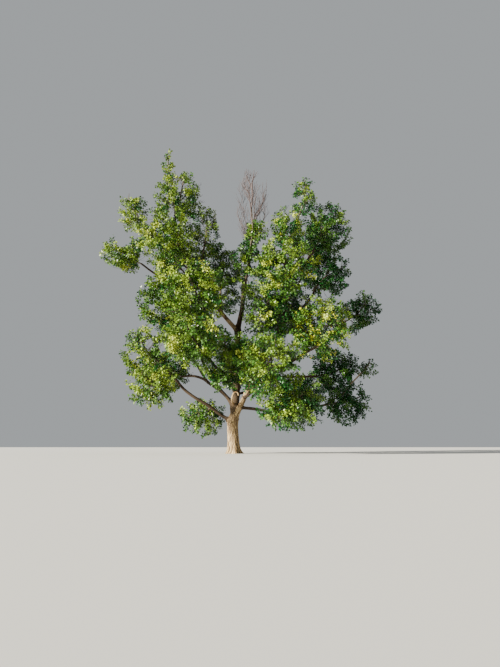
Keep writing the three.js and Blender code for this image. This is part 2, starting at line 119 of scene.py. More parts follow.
# %% Sizes that the solids share
TRUNK_RADIUS = 0.365
LEADER_RADIUS, TRUNK_TIP_RADIUS = 0.235, 0.075  # of the middle stem, above the fork and at its end
LEADER_TAPER = 1.6
FORK_HEIGHT = 2.0
FORK_STEP_BELOW, FORK_STEP_LENGTH = 0.1, 0.8  # where the trunk turns thinner at the fork
FLARE_RADIUS, FLARE_HEIGHT = 0.225, 0.33
BUTTRESSES, BUTTRESS_DEPTH = 5, 0.16
BELOW_CUT = 0.2  # the trunk's line starts this far below its flat cut at the ground
CROOK = 0.018  # how far a limb wanders, as a share of its length
WAVES_BELOW, WAVES_BESIDE = 9, 8  # of that wander, in radians over the limb
PIPE = 2.6  # limbs join by this power of their radius
BOUGH_MOST, BOUGH_TO_PARENT = 0.19, 0.85  # the stoutest bough, and the same as a share of its parent
BOUGH_ENDS_AT = 0.74  # of the way from a mass's middle to its outside
TIP_SHARE, TIP_MOST = 0.9, 0.8  # a bough's tip, by the pipe rule and by the bough's foot
CELL_GAP = 0.03  # between the spaces of two masses
REACH_LIMIT = 1.02  # how far out of its mass a bare twig may end
LOWEST_LEAF = 0.95
SHOOT_LIMIT = 0.94  # where shoots end in a mass, so that their leaves end with the solid's
TRUNK_LINE = [
    (0.03, 0, -BELOW_CUT),
    (-0.02, 0, 1.0),
    (-0.06, 0, FORK_HEIGHT),
    (0.14, 0.18, 3.5),
    (0.23, 0.38, 6.0),
    (0.26, 0.4, 8.4),
    (0.52, 0.4, 9.9),
    (0.7, 0.3, 11.6),
    (1.3, 0.15, 14.6),
]
STUB_RADII = (0.075, 0.038)  # of the curled dead stub at the fork
STUB_LINE = [
    (0.08, 0.1, 3.1),
    (-0.1, -0.3, 3.38),
    (-0.07, -0.45, 3.74),
    (0.08, -0.5, 3.97),
    (0.27, -0.5, 3.95),
    (0.32, -0.48, 3.74),
]
print("trunk", 2 * TRUNK_RADIUS, "m thick under the fork at", FORK_HEIGHT, "m")

# %% Boughs: parent, share of the parent's length, mass that it feeds, sag of its middle
BOUGHS = {
    "left_limb": ("trunk", 0.15, "left_lobe", 0.27),
    "left_upper_limb": ("trunk", 0.197, "left_bank", -0.78),
    "left_leader": ("trunk", 0.57, "left_spire", 1.2),
    "right_leader": ("trunk", 0.143, "right_spire", 0.85),
    "left_front_limb": ("trunk", 0.271, "left_centre", -0.3),
    "back_limb": ("trunk", 0.158, "back_centre_low", -0.5),
    "back_left_limb": ("trunk", 0.226, "back_left_low", 0.5),
    "left_heart_bough": ("trunk", 0.406, "left_heart", 0.2),
    "back_right_bough": ("trunk", 0.327, "back_right_mid", 0.6),
    "right_low_limb": ("right_leader", 0.075, "right_low_out", 0.33),
    "right_front_limb": ("right_leader", 0.12, "right_front", 0.15),
    "right_low_bough": ("right_leader", 0.17, "right_low", -0.25),
    "right_out_limb": ("right_leader", 0.25, "right_arm", 0.65),
    "right_heart_bough": ("right_leader", 0.43, "right_heart", 0.15),
    "right_shoulder_bough": ("right_leader", 0.48, "right_shoulder", 0.35),
    "back_right_high_bough": ("right_leader", 0.58, "back_right_high", 0.3),
    "right_crest_bough": ("right_leader", 0.66, "right_crest_right", 0.2),
    "right_yellow_bough": ("right_out_limb", 0.42, "right_yellow", 0.15),
    "left_flank_bough": ("left_upper_limb", 0.55, "left_flank", 0.25),
    "left_arm_bough": ("left_leader", 0.2, "left_arm", 0.35),
    "left_shoulder_bough": ("left_leader", 0.36, "left_shoulder", 0.35),
    "back_left_high_bough": ("left_leader", 0.28, "back_left_high", 0.25),
    "back_right_low_bough": ("back_limb", 0.4, "back_right_low", -0.15),
}
from_trunk = [name for name, (parent, *_) in BOUGHS.items() if parent == "trunk"]
print(len(BOUGHS), "boughs,", len(from_trunk), "of them from the trunk")

# %% Masses of foliage: middle, half width, half height
MASSES = {
    "left_spire": ((-5.1, 0.5, 21), 0.6, 1.75),
    "left_crest": ((-4.1, 0.3, 18.4), 2.1, 2.2),
    "left_shoulder": ((-7.35, -0.5, 16.9), 1.15, 1.85),
    "left_arm": ((-7.95, 0.5, 14), 2, 1.5),
    "left_high": ((-4.7, -1.6, 14.5), 2.35, 2.35),
    "left_inner": ((-2.2, 0.7, 15.5), 1.75, 2.8),
    "left_flank": ((-4.65, -1.5, 10), 2.05, 2.4),
    "left_heart": ((-2.4, -3.3, 10), 2.45, 2.4),
    "left_lobe": ((-5.75, -1, 6.5), 1.95, 2.15),
    "left_bank": ((-4.9, 2.7, 6.1), 2.05, 1.65),
    "left_skirt": ((-4.7, -3.9, 4.0), 1.75, 1.5),
    "left_centre": ((-2.2, -5.2, 6.5), 2.25, 1.8),
    "left_hanging": ((-2.15, 1, 2.45), 1.8, 1.5),
    "left_core": ((-1, 2.4, 12.7), 2.2, 3.2),
    "centre_heart": ((-0.3, -2.9, 5.7), 2.1, 2.3),
    "centre_column": ((1.15, -0.9, 13.2), 1.6, 4.4),
    "dead_top": ((1.25, -0.5, 17.4), 1.4, 2.95),
    "centre_front": ((2.2, -2.7, 8.8), 1.85, 2.4),
    "right_spire": ((4.95, -1, 17.7), 1.05, 1.8),
    "right_crest_left": ((3.35, -1.5, 14.7), 1.7, 2.25),
    "right_crest_right": ((6.7, 0.3, 15.9), 1.95, 2.25),
    "right_heart": ((3.3, -3.3, 11.6), 2.3, 2.35),
    "right_shoulder": ((6.75, 1, 12.7), 2, 2.25),
    "right_arm": ((9, 1.2, 9.85), 1.7, 1.8),
    "right_yellow": ((5.4, -3, 7.65), 2.45, 2.45),
    "right_sprig": ((9.1, 0.5, 5.75), 0.9, 0.8),
    "right_low": ((7.3, 2, 5.6), 2.2, 2),
    "right_low_out": ((7.5, -0.5, 3.2), 1.7, 1.5),
    "right_skirt": ((3.6, -3.5, 2.75), 2.35, 1.6),
    "right_front": ((2.2, -5.3, 5), 2.3, 2.3),
    "back_left_low": ((-4.1, 5.3, 9.8), 2.5, 2.3),
    "back_left_high": ((-4.7, 4.5, 14.5), 2.3, 2.3),
    "back_centre_low": ((0.5, 5.5, 6.9), 2.3, 2.5),
    "back_right_low": ((5, 5.7, 4.5), 2.3, 1.85),
    "back_right_mid": ((4.2, 4.7, 10.7), 2.4, 2.4),
    "back_right_high": ((6.2, 3.9, 16.1), 1.9, 2),
}
BARE = "dead_top"
print(len(MASSES), "masses, one of them bare")

# %% Masses that grow from the side or tip of a limb; the others grow from their own bough's end
GROWN_FROM = {
    "left_crest": ("left_leader", 0.78),
    "left_high": ("left_leader", 0.46),
    "left_inner": ("left_leader", 0.4),
    "left_skirt": ("left_limb", 0.72),
    "left_hanging": ("left_limb", 0.3),
    "left_core": ("left_leader", 0.16),
    "centre_heart": ("trunk", 0.316),
    "centre_column": ("trunk", 0.79),
    "dead_top": ("trunk", 0.99),
    "centre_front": ("right_leader", 0.29),
    "right_crest_left": ("right_leader", 0.66),
    "right_sprig": ("right_low_limb", 0.97),
    "right_skirt": ("right_low_limb", 0.36),
}
BOUGH_END = 0.985  # share of the bough's length
for bough, (_, _, mass, _) in BOUGHS.items():
    GROWN_FROM.setdefault(mass, (bough, BOUGH_END))
print(len(GROWN_FROM), "masses have a limb to grow from")

# %% [markdown]
# ## Lines before wood
#
# Every limb is first a line in space, because a tube, a furrow and a twig's foot all follow from it. A
# curve object could hold it, but a row of evenly spaced points is easier to ask: where is the place two
# thirds of the way up, and which way does the limb run there? The curve through the points is a centripetal
# spline, which never overshoots where the points crowd together.

# %% Evenly spaced places along a smooth curve
LINE_STEPS, SPLINE_STEPS = 200, 40
LOOK_AHEAD = 0.02  # share of a line over which its direction is read


def even_steps(path):
    """The same path with its points at equal distances."""
    lengths = np.linalg.norm(np.diff(path, axis=0), axis=1)
    walked = np.concatenate([[0], np.cumsum(lengths)])
    wanted = np.linspace(0, walked[-1], LINE_STEPS + 1)
    return np.stack([np.interp(wanted, walked, path[:, axis]) for axis in range(3)], -1)


def smooth_line(points):
    """A smooth curve through a few points."""
    points = np.array(points, float)
    knots = np.vstack([2 * points[0] - points[1], points, 2 * points[-1] - points[-2]])
    path = []
    for a, b, c, d in zip(knots, knots[1:], knots[2:], knots[3:]):
        before, here, after = (math.sqrt(np.linalg.norm(q - p)) for p, q in ((a, b), (b, c), (c, d)))
        leave = (b - a) / before - (c - a) / (before + here) + (c - b) / here
        arrive = (c - b) / here - (d - b) / (here + after) + (d - c) / after
        t = np.linspace(0, 1, SPLINE_STEPS, endpoint=False)[:, None]
        path.append(
            b * (2 * t**3 - 3 * t**2 + 1)
            + c * (3 * t**2 - 2 * t**3)
            + leave * here * (t**3 - 2 * t**2 + t)
            + arrive * here * (t**3 - t**2)
        )
    return even_steps(np.vstack(path + [points[-1:]]))


def length_of(line):
    """How long a line is, along its bends."""
    return np.linalg.norm(np.diff(line, axis=0), axis=1).sum()


def at(line, share):
    """The place at a share of a line's length, or one place for each of several shares."""
    steps = np.linspace(0, 1, len(line))
    return np.stack([np.interp(share, steps, line[:, axis]) for axis in range(3)], -1)


def unit(vectors):
    """The same directions at length 1."""
    return vectors / np.maximum(np.linalg.norm(vectors, axis=-1, keepdims=True), 1e-9)


def way_at(line, share):
    """Which way a line runs at a share of its length."""
    return unit(at(line, np.minimum(share + LOOK_AHEAD, 1)) - at(line, np.maximum(share - LOOK_AHEAD, 0)))


trunk_line = smooth_line(TRUNK_LINE)
trunk_length = float(length_of(trunk_line))
print("trunk", round(trunk_length, 2), "m along its line, half way up at", at(trunk_line, 0.5).round(2))

# %% The wander of each limb
BOUGH_STEPS = 6
FIRST_STATE, LETTER_FACTOR, FACTOR, ADDEND, STATES = 7, 31, 1664525, 1013904223, 2**32


def random_from(name):
    """A repeatable random sequence from 0 to 1, started from a name."""
    state = FIRST_STATE
    for letter in name:
        state = (state * LETTER_FACTOR + ord(letter)) % STATES
    while True:
        state = (state * FACTOR + ADDEND) % STATES
        yield state / STATES


def limb_line(name, foot, tip, sag):
    """A line from foot to tip, bowed down by its sag, with a small wander of its own."""
    random = random_from(name)
    length = np.linalg.norm(tip - foot)
    way = (tip - foot) / length
    below = unit(way * way[2] - UP)
    beside = np.cross(way, below)
    phase_below = next(random) * FULL_TURN
    phase_beside = next(random) * FULL_TURN
    share = np.linspace(0, 1, BOUGH_STEPS + 1)[:, None]
    wander = np.sin(math.pi * share) * CROOK * length
    bow = 4 * share * (1 - share) * sag + wander * np.sin(share * WAVES_BELOW + phase_below)
    aside = beside * wander * np.sin(share * WAVES_BESIDE + phase_beside)
    return smooth_line(foot + way * share * length + below * bow + aside)


print("the left limb's first random number:", round(next(random_from("left_limb")), 4))

# %% How stout each limb is: like a bundle of pipes, one for all that it carries
def load_of(mass):
    """A mass's share of the foliage, by its volume."""
    _, spread, height = MASSES[mass]
    return spread * spread * height


def carried(limb):
    """The foliage that hangs on a limb and on all that grows from it."""
    total = sum(load_of(mass) for mass, (grown_from, _) in GROWN_FROM.items() if grown_from == limb)
    return total + sum(carried(name) for name, (parent, *_) in BOUGHS.items() if parent == limb)


def pipe_radius(load):
    """How stout a limb is that carries a load, when the trunk carries the whole crown."""
    return TRUNK_RADIUS * (load / carried("trunk")) ** (1 / PIPE)


def trunk_radius(share, angle=0.0):
    """Root flare with buttresses at the ground, the step at the fork, then an even taper."""
    height = share * trunk_length - BELOW_CUT
    above = np.maximum(0, height - FORK_HEIGHT) / (trunk_length - BELOW_CUT - FORK_HEIGHT)
    forked = np.clip((height - FORK_HEIGHT + FORK_STEP_BELOW) / FORK_STEP_LENGTH, 0, 1)
    forked = forked * forked * (3 - 2 * forked)
    butt = TRUNK_RADIUS + (LEADER_RADIUS - TRUNK_RADIUS) * forked
    flare = FLARE_RADIUS * np.exp(-np.maximum(0, height) / FLARE_HEIGHT)
    lobes = 1 + BUTTRESS_DEPTH * (flare / FLARE_RADIUS) * np.cos(BUTTRESSES * angle)
    return (butt - (LEADER_RADIUS - TRUNK_TIP_RADIUS) * above**LEADER_TAPER + flare) * lobes


print("the right leader carries", round(100 * carried("right_leader") / carried("trunk")), "% of the crown")

# %% Lay out the trunk and the boughs
limbs = {"trunk": {"line": trunk_line, "radius": trunk_radius}}


def depth_in(mass, places):
    """How far out of a mass a place is: 0 at its middle and 1 on its outside."""
    centre, spread, height = MASSES[mass]
    return np.linalg.norm((places - np.array(centre)) / (spread, spread, height), axis=-1)


def tapering(foot_radius, tip_radius):
    """A rule for a radius that shrinks evenly from foot to tip."""
    return lambda share, angle=0.0: foot_radius + (tip_radius - foot_radius) * share + 0 * angle


for name, (parent, share, mass, sag) in BOUGHS.items():
    foot = at(limbs[parent]["line"], share)
    centre = np.array(MASSES[mass][0])
    tip = centre + (foot - centre) * BOUGH_ENDS_AT / depth_in(mass, foot)
    stoutest = min(BOUGH_MOST, BOUGH_TO_PARENT * limbs[parent]["radius"](share))
    foot_radius = min(pipe_radius(carried(name)), stoutest)
    tip_radius = min(pipe_radius(load_of(mass)) * TIP_SHARE, foot_radius * TIP_MOST)
    limbs[name] = {"line": limb_line(name, foot, tip, sag), "radius": tapering(foot_radius, tip_radius)}
limbs["stub"] = {"line": smooth_line(STUB_LINE), "radius": tapering(*STUB_RADII)}
print(len(limbs), "limbs,", round(sum(length_of(limb["line"]) for limb in limbs.values())), "m in all")

# %% [markdown]
# ## Bark that can be felt
#
# An old cottonwood's bark is thick and grey, split into long furrows that weave between flat ridges as wide
# as a palm; young limbs are smooth and darker. Their colour also carries painted shade, which keeps the stem
# and limbs above the fork dark, and painted light, which makes the two leaders paler where they stand in the
# sun. A bump in the material would do from far away, but it vanishes at the outline and in low light, so the
# ridges of the trunk and the stout limbs are real: each limb is a tube of many sides whose rings are pushed
# in along the furrows. Where a bough leaves its parent the wood swells into a collar, made by letting the
# two surfaces swell where they come close.

# %% A ring of directions carried along a line without twisting
STEEP = 0.8  # a line that starts nearer to the x axis than this gets its first side from the y axis


def carried_frames(line, shares):
    """For each share: the place, and two directions square to the line there."""
    places, ways = at(line, shares), way_at(line, shares)
    across = np.array([0.0, 1.0, 0.0]) if abs(ways[0][0]) > STEEP else np.array([1.0, 0.0, 0.0])
    sides = []
    for way in ways:
        across = unit(across - way * across.dot(way))
        sides.append(across)
    sides = np.array(sides)
    return places, sides, np.cross(ways, sides)


print("across the trunk's foot:", carried_frames(trunk_line, np.array([0.0]))[1][0].round(2))

# %% Furrows and ridges
RIDGE_WIDTH = 0.1
FEWEST_RIDGES = 6
FURROW_DEPTH = 0.034  # on the butt of the trunk
FURROW_SHARP = 0.55  # less than 1 makes the ridges flat and the cracks narrow
WIDE_WEAVE, FINE_WEAVE = (1.5, 7.1), (0.8, 17.3)  # how far ridges stray, and how fast, along the limb
NOTCH_DEPTH, NOTCHES, NOTCH_SHARP = 0.35, 31, 6  # cracks across the ridges
SMOOTH_BELOW = 0.08  # limbs thinner than this radius have smooth bark
FURROWED_ABOVE = 0.2  # and those stouter than this are furrowed all over
# The bark turns from dark to pale with the radius: partly real weathering, and partly painted shade that
# keeps the stem and limbs above the fork dark.
WEATHERING_AND_SHADE_RADII = (0.22, 0.36)  # from the first radius to the second the bark weathers from dark to pale
# Painted light: the two leaders turn pale at smaller radii where they stand in the sun; the dead stub is
# pale all over.
PAINTED_SUN_AND_STUB_RADII = {"right_leader": (0.12, 0.19), "left_leader": (0.1, 0.2), "stub": (0, 0.03)}  # in the sun


def share_between(value, low, high):
    """How far a value lies from a low one to a high one, from 0 to 1."""
    return np.clip((value - low) / (high - low), 0, 1)


def furrows(angle, along, radius, foot_radius):
    """How deep the bark lies below its ridges, as a share of the deepest furrow."""
    ridges = max(FEWEST_RIDGES, round(FULL_TURN * foot_radius / RIDGE_WIDTH))
    wide = WIDE_WEAVE[0] * np.sin(along * WIDE_WEAVE[1] + 2 * np.sin(3 * angle))
    weave = wide + FINE_WEAVE[0] * np.sin(along * FINE_WEAVE[1] + 4 * angle)
    crack = np.abs(np.sin((ridges * angle + weave) / 2))
    across = np.sin(along * NOTCHES + 5 * np.sin(ridges * angle * 0.5))
    notch = NOTCH_DEPTH * np.maximum(0, across) ** NOTCH_SHARP
    return share_between(radius, SMOOTH_BELOW, FURROWED_ABOVE) * (1 - crack**FURROW_SHARP + notch)


print("ridges round the trunk:", round(FULL_TURN * TRUNK_RADIUS / RIDGE_WIDTH))

# %% Each limb as a tube of wood
TRUNK_SIDES, STOUT_SIDES, THIN_SIDES = (112, 0.065), (36, 0.085), (20, 0.11)  # and metres from ring to ring
STOUT_FROM, STOUT_AT = 0.12, 0.15  # the radius of a stout limb, and where it is measured
FOOT_AT = 0.1  # share of a limb's length at which its foot's radius is taken
FEWEST_RINGS = 8
RINGS_CROWD = 1.35  # the trunk's rings crowd towards its foot


def limb_tube(name):
    """Rings of places along a limb, with the bark's coordinates, depth, and age with painted light and
    shade.
    """
    line, radius_at = limbs[name]["line"], limbs[name]["radius"]
    stout = float(radius_at(STOUT_AT)) > STOUT_FROM
    sides, spacing = TRUNK_SIDES if name == "trunk" else STOUT_SIDES if stout else THIN_SIDES
    length = length_of(line)
    first = BELOW_CUT / length if name == "trunk" else 0.0
    steps = max(FEWEST_RINGS, round(length / spacing))
    crowding = RINGS_CROWD if name == "trunk" else 1.0
    shares = first + (1 - first) * np.linspace(0, 1, steps + 1) ** crowding
    angle = np.linspace(0, FULL_TURN, sides, endpoint=False)[None, :]
    places, across, beside = carried_frames(line, shares)
    radius = radius_at(shares[:, None], angle) * np.ones_like(angle)
    along = (shares * length)[:, None]
    furrow = furrows(angle, along, radius, float(radius_at(FOOT_AT)))
    bark = radius - FURROW_DEPTH * furrow
    out = across[:, None] * np.cos(angle)[..., None] + beside[:, None] * np.sin(angle)[..., None]
    rings = places[:, None] + out * bark[..., None]
    if name == "trunk":
        rings[0, :, 2] = 0.0
        rings[:, :, 2] = np.maximum(rings[:, :, 2], 0.0)
    # Painted light and shade ride on the bark's age: dark on the limbs above the fork, pale on the sunlit
    # leaders.
    age_and_painted_light = share_between(radius, *PAINTED_SUN_AND_STUB_RADII.get(name, WEATHERING_AND_SHADE_RADII))
    return {"rings": rings, "out": out, "radius": radius, "along": along, "furrow": furrow, "age_and_painted_light": age_and_painted_light}


tubes = {name: limb_tube(name) for name in limbs}
print(len(tubes), "tubes,", sum(len(tube["rings"]) for tube in tubes.values()), "rings")

# %% Collars where limbs meet
COLLAR, OWN_COLLAR = 0.55, 0.6  # how far the swelling reaches, and how much the limb's own radius counts
COLLAR_RISE = 0.45  # how high it rises, as a share of that reach
COLLAR_STEPS = 81
GROUND = 0.01  # nothing swells at the flat cut


def distance_to(name, places):
    """How far places are from a limb's surface, by its nearest point."""
    nearest = np.full(len(places), np.inf)
    for share in np.linspace(0, 1, COLLAR_STEPS):
        spot = at(limbs[name]["line"], share)
        gap = np.linalg.norm(places - spot, axis=1) - limbs[name]["radius"](share)
        nearest = np.minimum(nearest, gap)
    return nearest


def swell(tube, neighbours):
    """Push a tube's rings out where another limb's surface comes close, so the two flow together."""
    shape = tube["rings"].shape
    places = tube["rings"].reshape(-1, 3)
    push = np.zeros(len(places))
    for name in neighbours:
        reach = COLLAR * float(max(tube["radius"].max() * OWN_COLLAR, limbs[name]["radius"](FOOT_AT)))
        gap = np.maximum(0, distance_to(name, places))
        push = np.maximum(push, reach * COLLAR_RISE * np.maximum(0, 1 - gap / reach) ** 2)
    push = np.where(places[:, 2] < GROUND, 0, push)
    tube["rings"] = (places + tube["out"].reshape(-1, 3) * push[:, None]).reshape(shape)
    return push.max()


def joined_to(name):
    """The limbs that a limb grows from or carries."""
    parent = [BOUGHS[name][0]] if name in BOUGHS else []
    return parent + [child for child, (grown_from, *_) in BOUGHS.items() if grown_from == name]


highest = max(swell(tube, joined_to(name)) for name, tube in tubes.items())
print("highest collar", round(highest / MM), "mm")

# %% Join the tubes into one mesh with bark coordinates in metres
def triangles(piece):
    """How many triangles a piece's faces make."""
    return sum(len(face.vertices) - 2 for face in piece.data.polygons)


def add_values(mesh, name, values):
    """A number for each point of a mesh, for the nodes to read."""
    mesh.attributes.new(name, "FLOAT", "POINT").data.foreach_set("value", np.concatenate(values))


def mesh_of_tubes(name, tubes):
    """One mesh of closed tubes, with coordinates round and along the bark in metres."""
    places, faces, coordinates = [], [], []
    start = 0
    for tube in tubes:
        rings = tube["rings"]
        steps, sides = rings.shape[:2]
        places.append(rings.reshape(-1, 3))
        index = start + np.arange(steps * sides).reshape(steps, sides)
        after = np.roll(index, -1, axis=1)
        faces += np.stack([index[:-1], after[:-1], after[1:], index[1:]], -1).reshape(-1, 4).tolist()
        girth = float(tube["radius"][0].mean()) * FULL_TURN / sides
        u = np.broadcast_to(np.arange(sides) * girth, (steps - 1, sides))
        v = np.broadcast_to(tube["along"], (steps, sides))
        corners = [(u, v[:-1]), (u + girth, v[:-1]), (u + girth, v[1:]), (u, v[1:])]
        coordinates.append(np.stack([np.stack(pair, -1) for pair in corners], -2).reshape(-1, 2))
        for cap in (index[0][::-1], index[-1]):
            faces.append(cap.tolist())
            coordinates.append(np.zeros((sides, 2)))
        start += steps * sides
    mesh = bpy.data.meshes.new(name)
    mesh.from_pydata(np.vstack(places).tolist(), [], faces)
    mesh.uv_layers.new(name="bark").data.foreach_set("uv", np.vstack(coordinates).ravel())
    for label in ("age_and_painted_light", "furrow"):
        add_values(mesh, label, [tube[label].reshape(-1) for tube in tubes])
    mesh.polygons.foreach_set("use_smooth", [True] * len(faces))
    mesh.update()
    return mesh


wood = set_in_scene("trunk_and_boughs", mesh_of_tubes("trunk_and_boughs", tubes.values()))
print("trunk and boughs:", triangles(wood), "triangles")

# %% [markdown]
# ## Which space each mass of leaves may fill
#
# Branches shade each other out, so every mass in a crown keeps to its own space and leaves daylight
# between. The solids keep that rule with flat boundaries, and the twigs here keep to the same boundaries
# and the same reach. The photograph also shows daylight in about two dozen places through the crown, and
# bays in its outline. Both are given by where they are seen, and no shoot that would be seen across one is
# grown.

# %% Openings and bays: middle, half width and half height, in the picture's pixels
OPENINGS = {
    "beside the left arm": [(142, 261, 4, 9), (146.5, 248, 2.5, 3), (151, 272, 4, 4)],
    "in the left crest": [(150, 220, 4, 4.5), (172, 212, 3.5, 6.5), (183, 270.5, 3, 4.5)],
    "in the left lobe": [(149, 344, 5, 5), (155, 332.5, 4, 3.5), (162.5, 347.5, 4, 5)],
    "over the left limb": [(191.5, 368, 2.5, 5), (202, 384, 10, 7)],
    "under the left limb": [(197, 395, 4.5, 4), (223, 399, 4, 6)],
    "in the middle": [(212.5, 236, 3, 4), (222, 291, 4, 3.5), (233, 330, 2.5, 5.5), (238, 286, 3, 5)],
    "under the dead top": [(260, 247, 3, 6)],
    "in the right crest": [(305.5, 257, 4, 3), (339, 264, 4, 3.5)],
    "in the right shoulder": [(303, 303.5, 3.5, 3), (325.5, 294, 5.5, 5), (349, 322, 4, 4)],
    "round the yellow mass": [(289.5, 338.5, 4.5, 6), (308, 365, 5.5, 8), (312, 351, 4.5, 5)],
}
BAYS = {
    "between the leaders": (232, 213, 16, 38),
    "right of the dead top": (269.5, 207, 4, 19),
    "under the left arm": (103, 284, 27, 21),
    "over the left arm": (123, 240, 8, 7),
    "under the right arm": (383, 341, 28, 19),
    "over the right arm": (350, 293, 8, 7),
    "over the left shoulder": (131, 189, 14, 9),
    "over the right skirt": (356, 378, 5, 5),
}
CLEAR = [opening for group in OPENINGS.values() for opening in group] + list(BAYS.values())


def in_opening(places):
    """True where a place is seen in one of the crown's openings or bays."""
    seen = seen_at(places)
    inside = np.zeros(seen.shape[:-1], bool)
    for x, y, half_width, half_height in CLEAR:
        inside |= ((seen[..., 0] - x) / half_width) ** 2 + ((seen[..., 1] - y) / half_height) ** 2 < 1
    return inside


print(len(CLEAR) - len(BAYS), "openings and", len(BAYS), "bays")

# %% The boundaries between masses
def size_of(mass):
    """A mass's mean radius, which decides how much space it wins from its neighbours."""
    return (MASSES[mass][1] + MASSES[mass][2]) / 2


def boundaries(mass):
    """Flat walls between a mass and all the others: which way each lies, and how far."""
    others = [other for other in MASSES if other != mass]
    away = np.array([MASSES[other][0] for other in others]) - np.array(MASSES[mass][0])
    distance = np.linalg.norm(away, axis=1)
    other_size = np.array([size_of(other) for other in others])
    reach = (distance**2 + size_of(mass) ** 2 - other_size**2) / (2 * distance)
    return away / distance[:, None], reach - CELL_GAP / 2


WALLS = {mass: boundaries(mass) for mass in MASSES}
BOX_LOW, BOX_HIGH = np.array(CAD_LOW), np.array(CAD_HIGH)


def has_room(mass, places):
    """True where a place is in a mass's own space, above the lowest leaves, and in no opening."""
    away, reach = WALLS[mass]
    offset = places - np.array(MASSES[mass][0])
    inside = (depth_in(mass, places) < SHOOT_LIMIT) & (places[..., 2] > LOWEST_LEAF)
    inside &= (offset @ away.T < reach).all(-1)
    inside &= (places < BOX_HIGH).all(-1) & (places > BOX_LOW).all(-1)
    return inside & ~in_opening(places)


print("each mass has", len(MASSES) - 1, "walls, the nearest at", round(min(WALLS[BARE][1]), 2), "m")

# %% [markdown]
# ## From stem to shoot
#
# In a real crown four orders of wood follow each other: the stem of a bough, its side branches, the leafy
# sprays on those, and this year's shoots, as thin as a pencil, that hold the leaves. Each order leaves its
# parent at about 45 degrees and turns by the golden angle from its neighbour, which spreads them evenly.
# The first two orders here are the solids' own. Sprays are then sent to even places over the outside of
# each mass and rooted on the branch that can reach them most directly, and each spray is set with shoots.

# %% Even directions, bent lines and a list of strands
GOLDEN = math.pi * (3 - math.sqrt(5))
ANY_TURN = 6.28  # the largest random turn
HOLD = 0.35  # how long a bent line keeps its first and its last direction
strands = {order: [] for order in ("branch", "spray", "shoot", "died_back", "dead")}
shoots = []  # each leafy shoot's line, with its green


def even_directions(count, turn):
    """Directions spread evenly over a ball, by the golden angle."""
    index = np.arange(count)
    z = 1 - (2 * index + 1) / count
    angle = index * GOLDEN + turn
    flat = np.sqrt(1 - z * z)
    return np.stack([flat * np.cos(angle), flat * np.sin(angle), z], -1)


def bend(foot, leaving, tip, arriving, steps):
    """A line that leaves its foot one way and arrives at its tip another."""
    t = np.linspace(0, 1, steps + 1)[:, None]
    hold = np.linalg.norm(tip - foot) * HOLD
    return (
        foot * (1 - t) ** 3
        + (foot + leaving * hold) * 3 * t * (1 - t) ** 2
        + (tip - arriving * hold) * 3 * t * t * (1 - t)
        + tip * t**3
    )


def add_strand(order, line, foot_radius, tip_radius):
    """One tapering piece of wood, as its line and its radius along it."""
    strands[order].append((line, np.linspace(foot_radius, tip_radius, len(line))))


print("golden angle", round(math.degrees(GOLDEN), 1), "degrees")

# %% The stem and side branches of a mass, as in its solid
STEM_MOST, STEM_SHARE, STEM_TIP_RADIUS = 0.09, 0.8, 0.055
STEM_REACH, STEM_RISE, STEM_BOW, STEM_STEPS = 0.5, 0.6, 0.05, 8
SPRAY_BASE, SPRAY_SHARE, TWIG_DENSITY = 0.52, 0.62, 1.8  # how densely the solids' twigs stand
TWIG_RISE, BARE_TWIG_RISE = 0.8, 2.2
TWIG_REACH = 0.74  # the solids' twigs stop at 0.46 of the mass; these run on
BARE_TWIG_REACH, BARE_TWIGS = 0.98, 15
ENTRY_FROM, ENTRY_TO, ENTRY_STEP, ENTRY_DEPTH = 0.15, 0.6, 0.05, 0.95  # where a stem comes into its mass
LAST_TWIG = 0.94  # share of the stem
SHORTENING = np.linspace(1, 0.3, 9)  # tries, until there is room
TWIG_STEPS, TWIG_FOLLOWS, TWIG_LIFT, BARE_TWIG_LIFT = 7, 0.6, 0.2, 0.35


def stem_of(mass):
    """The line of a mass's stem, from inside its limb to half way out of the mass."""
    limb, share = GROWN_FROM[mass]
    centre, spread, height = MASSES[mass]
    foot = at(limbs[limb]["line"], share)
    way = unit(unit(np.array(centre) - foot) + UP * STEM_RISE)
    head = np.array(centre) + way * (spread, spread, height) * STEM_REACH
    foot_radius = min(float(limbs[limb]["radius"](share)) * STEM_SHARE, STEM_MOST)
    return limb_line(mass, foot, head, np.linalg.norm(head - foot) * STEM_BOW), foot_radius


def branches_of(mass, stem):
    """The side branches of a stem, each to an even place round the middle of the mass."""
    centre, spread, height = MASSES[mass]
    bare = mass == BARE
    crowding = spread * height / (SPRAY_BASE + SPRAY_SHARE * spread) ** 2
    count = BARE_TWIGS if bare else round(TWIG_DENSITY * crowding) + 1
    entry = ENTRY_FROM
    while entry < ENTRY_TO and depth_in(mass, at(stem, entry)) > ENTRY_DEPTH:
        entry += ENTRY_STEP
    random = random_from(mass)
    axis = stem[-1] - stem[0]
    length = np.linalg.norm(axis)
    axis = axis / length
    lines = []
    for direction in even_directions(count, next(random) * FULL_TURN):
        direction = np.abs(direction) * (*np.sign(direction[:2]), 1) if bare else direction
        for reach in SHORTENING * (BARE_TWIG_REACH if bare else TWIG_REACH):
            tip = centre + direction * (spread, spread, height) * reach
            up = (tip - stem[0]) @ axis
            out = math.sqrt(max(0, (tip - stem[0]) @ (tip - stem[0]) - up * up))
            share = (up - out * (BARE_TWIG_RISE if bare else TWIG_RISE)) / length
            share = np.clip(share, entry, LAST_TWIG)
            foot = at(stem, share)
            if has_room(mass, np.array([tip, (foot + tip) / 2])).all():
                leaving = unit(unit(tip - foot) + way_at(stem, share) * TWIG_FOLLOWS)
                arriving = unit(unit(tip - foot) + UP * (BARE_TWIG_LIFT if bare else TWIG_LIFT))
                lines.append(bend(foot, leaving, tip, arriving, TWIG_STEPS))
                break
    return lines


print("branches in the left lobe:", len(branches_of("left_lobe", stem_of("left_lobe")[0])))

